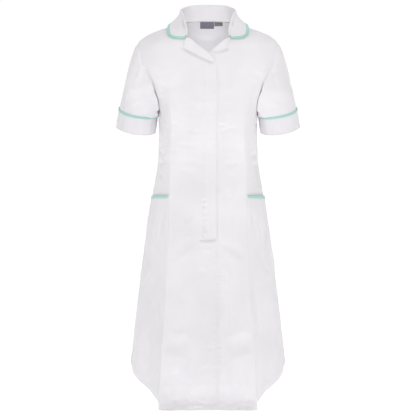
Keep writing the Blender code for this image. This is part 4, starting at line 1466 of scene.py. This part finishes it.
@dataclass
class Back:
    """Centre back and side backs."""

    relief: Relief  # creases of the cloth
    centre_cut: Cut = Cut(0.395, 1.075, area=0.262)  # flat cut of the centre back
    side_cut: Cut = Cut(0.185, 0.890, area=0.107)  # flat cut of a side back

    def build(self) -> list[bpy.types.Object]:
        """Makes the back panels and the back's hem stitches."""
        seams = ("left", "right", "top")
        centre = Panel("cloth_centre_back", "centre_back", back_places(), Side.LEFT, self.relief,
                       self.centre_cut, 0.0, seams, (TOP_ROW,), True)
        made = [centre.build()]
        s = np.concatenate([np.linspace(1.51, 2.0, 120), np.linspace(2.0, 2.49, 120)[1:]])
        z = hem_z(np.where(s > 2, 4 - s, s)) + HEM_STITCH_UP
        line = FORM.place(s, z, centre.lift_at(s, z)), unit(FORM.out(s, z))
        sewn = Stitches().sew("stitches_back", [line])
        for side in Side:
            panel = Panel(f"cloth_side_back_{side.word}", f"side_back_{side.word}",
                          side_places(0, TOP_ROW, LOWER_STEPS, behind=True), side, self.relief,
                          self.side_cut, seams=seams, hem=True)
            piece = panel.build()
            line = Stitches().sew(f"stitches_side_back_{side.word}", [along_hem(panel, 1.01, 1.49)])
            made += [piece, line]
        return made + [sewn]


@dataclass(frozen=True)
class Ring:
    """Opening ring of a sleeve, for the wearer's left."""

    x: float  # distance of its centre from the centre of the dress
    z: float  # height of its centre
    half_width: float  # half its width
    half_depth: float  # half its depth
    rise_out: float  # rise of the outer end over the inner one
    rise_back: float  # rise of the back over the front

    def points(self, side: Side, count: int) -> Array:
        """Points of the ring from its outer end over the front to the inner end.

        Args:
            side: Half of the dress that it is on.
            count: How many points it has.

        Returns:
            The points.
        """
        turn = 2 * np.pi * np.arange(count) / count
        out, back = np.cos(turn), -np.sin(turn)
        return np.stack([side.value * (self.x + self.half_width * out), self.half_depth * back,
                         self.z + self.rise_out * out + self.rise_back * back], axis=-1)


# Creases of a sleeve: turn from the top over the front and share of its length, in
# turns up to the last two numbers, which are width and height
SLEEVE_CREASES = {
    Side.RIGHT: (
        (0.14, 0.14, 0.2, 0.12, 0.27, 0.09, 0.35, 0.05, 9, -3.2),
        (0.43, 0.1, 0.31, 0.4, 0.15, 0.7, 0.05, 0.9, 20, -3),
        (0.42, 0.36, 0.31, 0.62, 0.2, 0.88, 15, -2.2),
        (0.33, 0.18, 0.24, 0.44, 0.14, 0.62, 20, 1.4), (0, 0.62, 0.08, 0.78, 0.18, 0.94, 10, -4),
        (0.01, 0.78, 0.07, 0.88, 0.13, 0.98, 8, -3), (0.14, 0.06, 0.14, 0.2, 0.13, 0.38, 9, -1.4),
        (0.2, 0.1, 0.19, 0.24, 0.17, 0.4, 10, 1.3), (0.62, 0.14, 0.72, 0.44, 0.86, 0.78, 16, -2.8),
        (0.64, 0.46, 0.74, 0.68, 0.84, 0.9, 13, -2), (0.92, 0.3, 0.88, 0.52, 0.8, 0.7, 13, 1.6),
    ),
    Side.LEFT: (
        (0.15, 0.13, 0.21, 0.11, 0.28, 0.08, 0.36, 0.05, 9, -3),
        (0.42, 0.14, 0.32, 0.44, 0.17, 0.74, 0.06, 0.92, 20, -2.8),
        (0.41, 0.42, 0.32, 0.66, 0.23, 0.9, 15, -2), (0.34, 0.22, 0.26, 0.46, 0.15, 0.6, 20, 1.3),
        (0.98, 0.58, 0.05, 0.76, 0.15, 0.92, 10, -3.6), (0, 0.76, 0.06, 0.87, 0.12, 0.97, 8, -2.7),
        (0.15, 0.05, 0.15, 0.18, 0.14, 0.34, 9, -1.3), (0.21, 0.12, 0.2, 0.25, 0.18, 0.42, 10, 1.2),
        (0.61, 0.18, 0.7, 0.46, 0.84, 0.8, 16, -2.7), (0.63, 0.5, 0.73, 0.72, 0.82, 0.92, 13, -1.9),
        (0.93, 0.34, 0.88, 0.54, 0.81, 0.72, 13, 1.5),
    ),
}


# Pull of a sleeve's lengthwise lines at the armhole and at the cuff, by where they run
PULLS = {"top": ((19, 0, -17), (-12, 0, 52)), "front": ((13, -9, -26), (-5, -4, 44)),
         "under": ((0.5, 0, -14), (-4.5, 0, 15)), "fold": ((-4, -4, 0), (-9, -6, 0)),
         "back": ((13, 9, -26), (-5, 4, 44))}
# Folds of a cuff: turn from the top over the front, height, width in turns
CUFF_FOLDS = ((0.21, -1.1, 0.010), (0.245, 0.9, 0.009), (0.28, -0.9, 0.009), (0.33, -1.0, 0.014),
              (0.37, 0.8, 0.010), (0.41, -0.9, 0.011), (0.16, 0.7, 0.012), (0.11, -1.2, 0.014),
              (0.06, 0.8, 0.012), (0.71, -0.9, 0.016), (0.77, 0.6, 0.012), (0.83, 0.7, 0.02))


@dataclass
class Sleeves:
    """Short set-in sleeves with turned cuffs and a mint band over the cuff seam."""

    relief: Relief  # creases of the body's cloth, some of which run into the sleeves
    # ring of the seam between sleeve and cuff
    cuff_seam: Ring = Ring(191.9, -224.0, 53.1, 50.0, 8.5, 10.5)
    hem: Ring = Ring(199.5, -271.0, 54.5, 57.0, 8.5, 11.0)  # ring of the cuff's edge
    snug: float = 22.0  # how far the inner side is pressed to the body
    rows: int = 56  # rows of the fine grid down the sleeve
    finer: int = 5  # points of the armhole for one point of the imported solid
    cut: Cut = Cut(0.375, 0.205, area=0.043)  # flat cut of a sleeve
    cuff_cut: Cut = Cut(0.340, 0.048, Held.FOLDED)  # flat cut of a folded cuff
    trim_cut: Cut = Cut(0.330, 0.014, Held.FOLDED, area=0.0026)  # flat cut of a cuff's band

    def _pull(self, count: int, end: int) -> Array:
        """Pull of all the lengthwise lines.

        Args:
            count: How many lines there are.
            end: 0 at the armhole, 1 at the cuff.

        Returns:
            Ways in millimetres, one row each.
        """
        turn = 2 * np.pi * np.arange(count) / count
        up, ahead = np.cos(turn), np.sin(turn)
        shares = {"top": np.maximum(up, 0), "under": np.maximum(-up, 0),
                  "front": np.maximum(ahead, 0), "back": np.maximum(-ahead, 0),
                  "fold": np.maximum(-2 * up * ahead, 0) * (ahead > 0)}
        return sum(shares[name][:, None] ** 2 * np.array(ends[end], float)
                   for name, ends in PULLS.items())

    def _armhole(self) -> Array:
        """Places on the body round the whole armhole."""
        front, behind = (armhole(back, self.finer) for back in (False, True))
        return np.concatenate([front, behind[-2:0:-1]])

    def grid(self, side: Side) -> Array:
        """Smooth rows of the sleeve from the armhole to the cuff seam.

        Args:
            side: Half of the dress that it is on.

        Returns:
            Grid of points.
        """
        line = self._armhole()
        start = FORM.body(line[:, 0], line[:, 1])
        count = len(start)
        end = self.cuff_seam.points(Side.LEFT, count)
        u = np.linspace(0, 1, self.rows + 1)[:, None, None]
        second, third = start + self._pull(count, 0), end + self._pull(count, 1)
        grid = (start * (1 - u) ** 3 + second * 3 * u * (1 - u) ** 2
                + third * 3 * u**2 * (1 - u) + end * u**3)
        # the inner side is pressed to the body, but never into it
        inner = ease((-np.cos(2 * np.pi * np.arange(count) / count) - 0.05) / 0.75)
        down = u[:, 0]
        grid[..., 0] -= self.snug * inner * ease(down / 0.35) * (1 - 0.7 * ease((down - 0.8) / 0.2))
        room = FORM.half_width(grid[..., 1], grid[..., 2]) + 1.9 * ease((down - 0.05) / 0.15) - 0.3
        grid[..., 0] = np.maximum(grid[..., 0], room)
        return grid * (side.value, 1, 1)

    def _creases(self, side: Side, grid: Array) -> Relief:
        """Relief of one sleeve: its own creases and the body's that reach it.

        Args:
            side: Half of the dress that it is on.
            grid: Smooth rows of the sleeve.

        Returns:
            The relief.
        """
        own = Relief(list(self.relief.creases), self.relief.seed, self.relief.unevenness)
        rows, cols = grid.shape[:2]
        for row in SLEEVE_CREASES[side]:
            path, width, height = split(row)
            drawn = np.array(path, float)
            drawn[:, 0] = np.unwrap(drawn[:, 0], period=1.0)
            drawn = even_path(drawn, 10)
            line = grid[np.round(drawn[:, 1] * (rows - 1)).astype(int),
                        np.round(drawn[:, 0] % 1.0 * cols).astype(int) % cols]
            own.add(Crease((), width, height), line)
        return own

    def _sleeve(self, side: Side, grid: Array, relief: Relief) -> bpy.types.Object:
        """Makes a sleeve.

        Args:
            side: Half of the dress that it is on.
            grid: Its smooth rows.
            relief: Its creases.

        Returns:
            The object.
        """
        down = run_lengths(grid, 0)
        lift = relief.at(grid) - 0.9 * bump_at(down, 2.2) - 0.3 + 0.7 * bump_at(down - 9, 7)
        # at the armhole the sleeve follows the body's cloth, lower down its own
        line = self._armhole()
        body_outs = unit(FORM.out(side.value * line[:, 0], line[:, 1]))[None]
        ways = mix(body_outs, grid_outs(grid, side.value), ease(down / 30)[..., None])
        outer = grid + ways * lift[..., None]
        tuck = outer[:1] - unit(outer[1:2] - outer[:1]) * 2.5 - ways[:1] * 0.7
        outer, ways = np.concatenate([tuck, outer]), np.concatenate([ways[:1], ways])
        return shell(f"cloth_sleeve_{side.word}", outer, outer - ways * CLOTH, POLYCOTTON,
                     f"sleeve_{side.word}", True)

    def build(self) -> list[bpy.types.Object]:
        """Makes the sleeves, cuffs, bands and their stitches."""
        made = []
        for side in Side:
            word, grid = side.word, self.grid(side)
            count = grid.shape[1]
            relief = self._creases(side, grid)
            sleeve = self._sleeve(side, grid, relief)

            seam, hem = self.cuff_seam.points(side, count), self.hem.points(side, count)
            u = np.linspace(0, 1, 18)[:, None]
            band = mix(seam[None], hem[None], u[..., None])
            outs = grid_outs(band, side.value)
            wave = relief.at(band) * 0.6 + 0.5 + 0.5 * np.sin(np.pi * u) ** 2
            wave = wave - 0.5 * bump_at((1 - u) * 47 - 6, 1.6)
            turn = np.arange(count) / count
            for at, size, width in CUFF_FOLDS:
                gap = np.minimum(np.abs(turn - at), 1 - np.abs(turn - at))
                wave = wave + size * bump_at(gap, width)[None] * (0.4 + 0.6 * u)
            face = band + outs * wave[..., None]
            cuff = shell(f"cloth_cuff_{word}", face, face - outs * CUFF_WALL, POLYCOTTON,
                         f"cuff_{word}", True)

            wide, middle = unit(seam - hem), seam + outs[0] * 1.5
            trim = swept(f"binding_cuff_{word}", (middle, wide, outs[0]), 6.6, 1.9, MINT_BINDING,
                         f"cuff_trim_{word}", True)
            closed = np.concatenate([np.arange(count), [0]])
            edges = [(mix(face[-2], face[-1], 0.13)[closed], outs[-1][closed])]
            edges += [((middle + wide * off + outs[0] * 0.72)[closed], outs[0][closed])
                      for off in (2.4, -2.4)]
            sewn = Stitches().sew(f"stitches_cuff_{word}", edges)
            made += [sleeve, cuff, trim, sewn]
        return made


def grid_outs(grid: Array, turn: float, ring: bool = True) -> Array:
    """Ways out of a grid of points, from its neighbours.

    Args:
        grid: Grid of points.
        turn: 1 or -1, whichever points out.
        ring: True where the last column joins the first.

    Returns:
        Unit ways, in the grid's shape.
    """
    across = (np.roll(grid, -1, axis=1) - np.roll(grid, 1, axis=1) if ring
              else np.gradient(grid, axis=1))
    return unit(np.cross(across, np.gradient(grid, axis=0))) * turn


@dataclass
class Collar:
    """Collar with a stand, a soft roll and a leaf, edged with mint binding."""

    columns: int = 120  # columns from the centre back to one front end
    wall: float = 1.0  # thickness of the made-up collar
    trim_width: float = 7.8  # width of the binding
    trim_depth: float = 2.2  # thickness of the binding
    cut: Cut = Cut(0.420, 0.105, Held.FOLDED, area=0.036)  # flat cut of the collar
    # flat cut of the binding, before it is folded over
    trim_cut: Cut = Cut(0.560, 0.016, Held.FOLDED, area=0.0050)

    # from the centre back (0) to the front end (1)
    stations: tuple[float, ...] = (0.0, 0.2, 0.38, 0.5, 0.62, 0.75, 0.88, 1.0)
    roll: tuple[tuple[float, float, float], ...] = (
        (0, 71, 69), (40, 62, 67.5), (66, 34, 61), (74, 2, 54),
        (68.5, -22, 43), (62.5, -47, 26), (57, -77, 1), (57.5, -91, -13))
    # outer edge: distance from the centre, height and lift over the body
    edge: tuple[tuple[float, float, float], ...] = (
        (0, 8, 12), (48, 8, 12), (86, 8, 10.5), (99.5, 9.5, 9),
        (101, 2, 6.5), (100.5, -6, 5), (98.5, -13, 4.2), (90, -18, 4))

    def _neck_edge(self, w: Array) -> Array:
        """Body points of the neckline.

        Args:
            w: Places from 0 at the centre back to 1 at the front end.

        Returns:
            The points, one row each.
        """
        u = np.clip(1 - 2 * w, 0, 1)
        behind = FORM.body(1 + u, mix(NECK_POINT[1], NAPE_Z, ease(u)))
        drawn = np.array(NECKLINE, float)
        lengths = run_lengths(drawn, 0)
        at = blend(lengths, drawn, lengths[-1] * np.clip(2 - 2 * w, 0, 1))
        ahead = FORM.body(FORM.s_at(at[:, 0], at[:, 1]), at[:, 1])
        return np.where((w <= 0.5)[:, None], behind, ahead)

    def lines(self, w: Array) -> Array:
        """Middle lines of the collar wall: stand, roll and fall.

        Args:
            w: Places from 0 at the centre back to 1 at the front end.

        Returns:
            Grid of points, one row for each place, as for the wearer's left.
        """
        foot, top = self._neck_edge(w), blend(self.stations, self.roll, w)
        rim = blend(self.stations, self.edge, w)
        edge_s = np.where(w < 0.5, *(FORM.s_at(rim[:, 0], rim[:, 1], back)
                                     for back in (True, False)))
        edge = FORM.place(edge_s, rim[:, 1], rim[:, 2])
        along = unit(blend(self.stations, self.roll, np.minimum(w + 0.03, 1))
                     - blend(self.stations, self.roll, np.maximum(w - 0.03, 0)))
        along = np.where((w == 0)[:, None], (1.0, 0.0, 0.0), along)

        across = clear_of(edge - foot, along)
        flat = -np.cross(along, (0.0, 0.0, 1.0))
        across = np.where((w < 0.5)[:, None], unit(mix(flat, across, ease(w / 0.5)[:, None])),
                          across)
        up = clear_of(top - foot, along, across)
        radius = mix(2.6, 2.0, w)[:, None]
        centre = top - up * radius
        inner = centre - across * radius
        lower = foot + unit(inner - foot) * 0.4
        rows = [mix(lower, inner, u) for u in np.linspace(0, 0.9, 9)]
        rows += [centre - across * radius * math.cos(turn) + up * radius * math.sin(turn)
                 for turn in np.linspace(0, math.pi, 11)]
        outer = rows[-1]
        drop = np.linalg.norm(edge - outer, axis=1)[:, None]
        bend = outer - up * drop * mix(0.42, 0.22, ease(w))[:, None]
        rows += [outer * (1 - u) ** 2 + bend * 2 * u * (1 - u) + edge * u * u
                 for u in np.linspace(0, 1, 15)[1:]]
        return np.stack(rows, axis=1)

    def build(self) -> list[bpy.types.Object]:
        """Makes the collar, its binding and the stitches."""
        half = self.lines(np.linspace(0, 1, self.columns + 1))
        grid = np.concatenate([half[:0:-1] * (-1, 1, 1), half])
        outs = grid_outs(grid, 1.0, ring=False)
        count, last = len(grid), grid.shape[1] - 1
        # the stand is thicker at the neck seam, and the leaf waves a little
        j = np.arange(last + 1)[None]
        wave = 0.35 * np.sin(np.arange(count) / 9.0)[:, None] * np.clip((j - 19) / 8, 0, 1)
        wall = self.wall / 2 + 0.35 * bump_at(j, 1.6)
        thing = shell("cloth_collar", grid + outs * (wall + wave)[..., None],
                      grid - outs * (wall - wave)[..., None], POLYCOTTON, "collar")

        # the binding runs over the front ends, above the column where the leaf begins
        free = 21
        path = [(0, n) for n in range(free, last)] + [(i, last) for i in range(count)]
        path += [(count - 1, n) for n in range(last - 1, free - 1, -1)]
        rows, cols = np.array(path).T
        edge, thick = grid[rows, cols], outs[rows, cols]
        inside = grid[np.clip(rows, 1, count - 2), np.minimum(cols, last - 1)]
        out = clear_of(edge - inside, unit(np.gradient(edge, axis=0)), thick)
        for _ in range(6):
            out[1:-1] = unit(out[:-2] + out[1:-1] + out[2:])
        middle = edge + out * (self.trim_width / 2 - 0.6)
        trim = swept("binding_collar", (middle, out, thick), self.trim_width, self.trim_depth,
                     MINT_BINDING, "collar_trim")

        inner_edge = (middle - out * (self.trim_width / 2 - 1.0)
                      + thick * (self.trim_depth / 2 - 0.15))
        neck = grid[:, 1] - outs[:, 1] * (self.wall / 2 + 0.25)
        sewn = Stitches().sew("stitches_collar", [(inner_edge, thick), (neck, -outs[:, 1])])
        return [thing, trim, sewn]


@dataclass
class Reveres:
    """Turned-out tops of the fronts."""

    # roll line x and z, then outer edge x and z, from the break up
    right: tuple[tuple[float, ...], ...] = (
        (-19, -8, 4, 14.5, 24, 32.5, 40, 49.5, 56.5),
        (-83, -69.5, -59, -51.5, -44.5, -38, -31.5, -25, -21),
        (-17, -1, 18, 34, 46, 56, 63.5, 63.8, 62.8),
        (-86.5, -80, -71.5, -63.5, -57.5, -52, -47, -36, -26))
    # the same for the wearer's left, which lies under at the centre
    left: tuple[tuple[float, ...], ...] = (
        (11, 17.5, 24, 32.5, 40, 49.5, 56.5),
        (-54, -49.5, -44.5, -38, -31.5, -25, -21),
        (14, 24, 35, 45, 52, 55, 59.5),
        (-58.5, -56.5, -53.5, -50, -46.5, -36, -25))
    # section: distance from the roll line in mm, lifts of the two faces
    fold: tuple[tuple[float, float, float], ...] = (
        (-0.45, -1.1, -0.1), (-2.9, 0.3, 0.6), (-2.9, 2.4, 1.7), (0.2, 4.3, 2.9))
    leaf: tuple[tuple[float, float, float], ...] = (
        (0.35, 3.9, 2.6), (0.7, 3.3, 2.0), (1.0, 2.7, 1.4))
    # where each of those stands on the curve through them
    knots: tuple[float, ...] = (0, 1, 2, 3, 4.5, 6.0, 7.5)
    right_cut: Cut = Cut(0.045, 0.110, area=0.0028)  # flat cut of the right revere
    left_cut: Cut = Cut(0.036, 0.075, area=0.0014)  # flat cut of the left revere

    def _piece(self, side: Side, table: tuple[tuple[float, ...], ...], base: Lift | float) -> list[bpy.types.Object]:
        """Makes one revere, folded over along its roll line, with its stitches.

        Args:
            side: Half of the dress that it is on.
            table: Roll line x and z, then outer edge x and z, from the break up.
            base: Lift of the cloth that it lies on.

        Returns:
            The revere and its stitches.
        """
        even = np.arange(len(table[0]))
        fine = np.linspace(0, even[-1], 13 * len(even))
        roll_x, roll_z, edge_x, edge_z = (blend(even, column, fine) for column in table)
        start = np.stack([FORM.s_at(roll_x, roll_z), roll_z], axis=-1)
        end = np.stack([FORM.s_at(edge_x, edge_z), edge_z], axis=-1)
        width = np.linalg.norm(FORM.body(*end.T) - FORM.body(*start.T), axis=1)
        rest = (base(mix(start[:, 0], end[:, 0], 0.5), start[:, 1]) if callable(base)
                else base + 0 * width)
        full = np.minimum(1.0, 0.45 + width / 45)
        shares = [at[0] / width for at in self.fold] + [at[0] + 0 * width for at in self.leaf]
        faces = []
        for column in (1, 2):
            # the high points of the fold are lower where the revere is narrow
            lifts = [at[column] * (full if at[column] > 2 else 1) + 0 * width
                     for at in self.fold + self.leaf]
            section = blend(self.knots, np.stack([shares, lifts], axis=-1),
                            np.linspace(0, self.knots[-1], 31))
            share, lift = section[..., 0], section[..., 1]
            s, z = (mix(start[None, :, n], end[None, :, n], share) for n in (0, 1))
            faces.append(np.swapaxes(FORM.place(side.value * s, z, rest[None] + lift), 0, 1))
        outer, inner = faces[0], mix(faces[0], faces[1], 0.8)
        thing = shell(f"cloth_revere_{side.word}", outer, inner, POLYCOTTON, f"revere_{side.word}")
        near_edge = outer[:, -1] + unit(outer[:, -4] - outer[:, -1]) * 2.2
        outs = unit(outer[:, -4] - inner[:, -4])
        sewn = Stitches(length=2.2).sew(f"stitches_revere_{side.word}",
                                        [(near_edge + outs * 0.3, outs)])
        return [thing, sewn]

    def build(self) -> list[bpy.types.Object]:
        """Makes both reveres."""
        return (self._piece(Side.RIGHT, self.right, overlap_lift)
                + self._piece(Side.LEFT, self.left, 0.0))


@dataclass
class Labels:
    """Bare neck label and size tab sewn inside the back neck."""

    # left, right, top and foot of the neck label
    label: tuple[float, float, float, float] = (-22.0, 17.0, 22.5, 3.5)
    tab: tuple[float, float, float, float] = (18.0, 41.0, 22.5, 11.0)  # the same for the size tab
    label_cut: Cut = Cut(0.039, 0.018, Held.STRETCHED)  # flat cut of the label
    tab_cut: Cut = Cut(0.023, 0.0115, Held.STRETCHED)  # flat cut of the tab

    def build(self, relief: Relief) -> list[bpy.types.Object]:
        """Makes the label and the tab, each a thin closed sheet.

        Args:
            relief: Creases of the back that they lie on.

        Returns:
            The label and the tab.
        """
        made = []
        for name, node, box, weave, cut in (
                ("woven_neck_label", "neck_label", self.label, GREY_LABEL, self.label_cut),
                ("woven_size_tab", "size_tab", self.tab, DARK_TAB, self.tab_cut)):
            left, right, top, foot = box
            x, z = np.meshgrid(np.linspace(left, right, 40), np.linspace(foot, top, 20))
            s = FORM.s_at(x, z, True)
            under = relief.at(FORM.body(s, z)) - CLOTH
            under -= (0.5 * np.sin(np.pi * (z - foot) / (top - foot))
                      * np.sin(np.pi * (x - left) / (right - left)) ** 0.5)
            thing = shell(name, FORM.place(s, z, under - 0.5), FORM.place(s, z, under - 0.1),
                          weave, node)
            made.append(thing)
        return made


@dataclass(frozen=True)
class Studio:
    """Pale floor, soft lights and the camera, in metres."""

    floor_z: float = -1.40  # height of the floor, in metres
    floor_half: float = 14.0  # half the side of the floor
    floor_glow: float = 0.44  # strength of the floor's own light, which keeps it white
    world: float = 0.67  # strength of the even light from all round
    backdrop: float = 1.03  # light level behind the dress, which is pure white
    ceiling: float = 0.58  # the same straight above, where the studio is dimmer
    side: float = 0.84  # light level from either side, as a share
    top_watts: float = 0.8  # power of the small soft light over the shoulders
    key_watts: float = 27.0  # power of the large soft light in front
    neck_watts: float = 0.075  # power of the small soft light that fills the open neck
    camera_at: tuple[float, float, float] = (0.0, -3.1606, 0.0081)  # place of the camera, in metres
    aim: tuple[float, float, float] = (0.0, 0.0, -0.49246)  # point that it looks at
    lens: float = 98.9  # focal length in millimetres on a 36 mm sensor

    def build(self) -> None:
        """Makes the floor, the world, the light and the camera."""
        scene = bpy.context.scene
        scene.view_settings.view_transform = "Standard"
        world = bpy.data.worlds.new("even_studio_light")
        world.use_nodes = True
        tree = world.node_tree
        tree.nodes.clear()
        add = partial(add_node, tree)
        space = add("ShaderNodeTexCoord")
        parts = add("ShaderNodeSeparateXYZ", {0: space.outputs["Generated"]})
        sideways = add("ShaderNodeMath", {0: parts.outputs["X"]}, operation="ABSOLUTE")
        # light level by height, then shares of it by how far to the side and behind
        level = None
        for source, near, far, start, end in (
                (parts.outputs["Z"], 0.15, 0.95, self.world, self.ceiling),
                (sideways.outputs[0], 0.3, 1.0, 1.0, self.side),
                (parts.outputs["Y"], 0.2, 0.9, 1.0, self.backdrop / self.world)):
            share = add("ShaderNodeMapRange", {"Value": source}, From_Min=near, From_Max=far,
                        To_Min=start, To_Max=end).outputs[0]
            level = share if level is None else add("ShaderNodeMath", {0: level, 1: share},
                                                    operation="MULTIPLY").outputs[0]
        sky = add("ShaderNodeBackground", {"Strength": level}, Color=(1.0, 1.0, 1.0, 1.0))
        add("ShaderNodeOutputWorld", {"Surface": sky.outputs[0]})
        scene.world = world

        mesh = bpy.data.meshes.new("studio_floor")
        h = self.floor_half
        mesh.from_pydata([(-h, -h, self.floor_z), (h, -h, self.floor_z), (h, h, self.floor_z),
                          (-h, h, self.floor_z)], [], [(0, 1, 2, 3)])
        paint = bpy.data.materials.new("pale_floor_paint")
        paint.use_nodes = True
        shader = paint.node_tree.nodes["Principled BSDF"]
        shader.inputs["Base Color"].default_value = srgb("FEFEFE")
        shader.inputs["Roughness"].default_value = 0.9
        shader.inputs["Emission Color"].default_value = srgb("FFFFFF")
        shader.inputs["Emission Strength"].default_value = self.floor_glow
        mesh.materials.append(paint)
        floor = bpy.data.objects.new("studio_floor", mesh)
        scene.collection.objects.link(floor)

        self._area("key_light", (0.25, -3.2, 1.0), 1.6, self.key_watts, self.aim)
        self._area("top_light", (0.0, -0.45, 0.62), 0.5, self.top_watts, (0.0, 0.0, -0.05))
        self._area("neck_light", (0.0, -0.03, -0.055), 0.07, self.neck_watts, (0.0, 0.3, -0.12))
        camera = bpy.data.objects.new("camera", bpy.data.cameras.new("camera"))
        camera.data.lens = self.lens
        camera.data.sensor_width = 36.0
        camera.location = self.camera_at
        camera.rotation_euler = self._facing(self.camera_at, self.aim)
        scene.collection.objects.link(camera)
        scene.camera = camera

    def _facing(self, at: Sequence[float], aim: Sequence[float]) -> Euler:
        """Rotation of a camera or a lamp that faces a point."""
        return (Vector(aim) - Vector(at)).to_track_quat("-Z", "Y").to_euler()

    def _area(self, name: str, at: tuple[float, float, float], size: float, watts: float,
              aim: tuple[float, float, float]) -> None:
        """Adds a square soft light that faces a point.

        Args:
            name: Name of the light.
            at: Its place in metres.
            size: Its side in metres.
            watts: Its power.
            aim: Point that it faces.
        """
        data = bpy.data.lights.new(name, "AREA")
        data.size = size
        data.energy = watts
        lamp = bpy.data.objects.new(name, data)
        lamp.location = at
        lamp.rotation_euler = self._facing(at, aim)
        bpy.context.scene.collection.objects.link(lamp)


def main() -> None:
    """Builds the dress piece by piece, then the studio."""
    logging.basicConfig(level=logging.INFO, format="%(name)s %(message)s")
    relief = Relief()
    for crease in all_creases():
        relief.add(crease)
    made = []
    for part in (Fronts(relief), Sides(relief), Back(relief), Sleeves(relief), Collar(), Reveres()):
        made += part.build()
    made += Labels().build(relief)
    LOG.info("%d pieces, %d triangles", len(made), sum(
        len(p.vertices) - 2 for thing in made for p in thing.data.polygons))
    Studio().build()


if __name__ == "__main__":
    main()
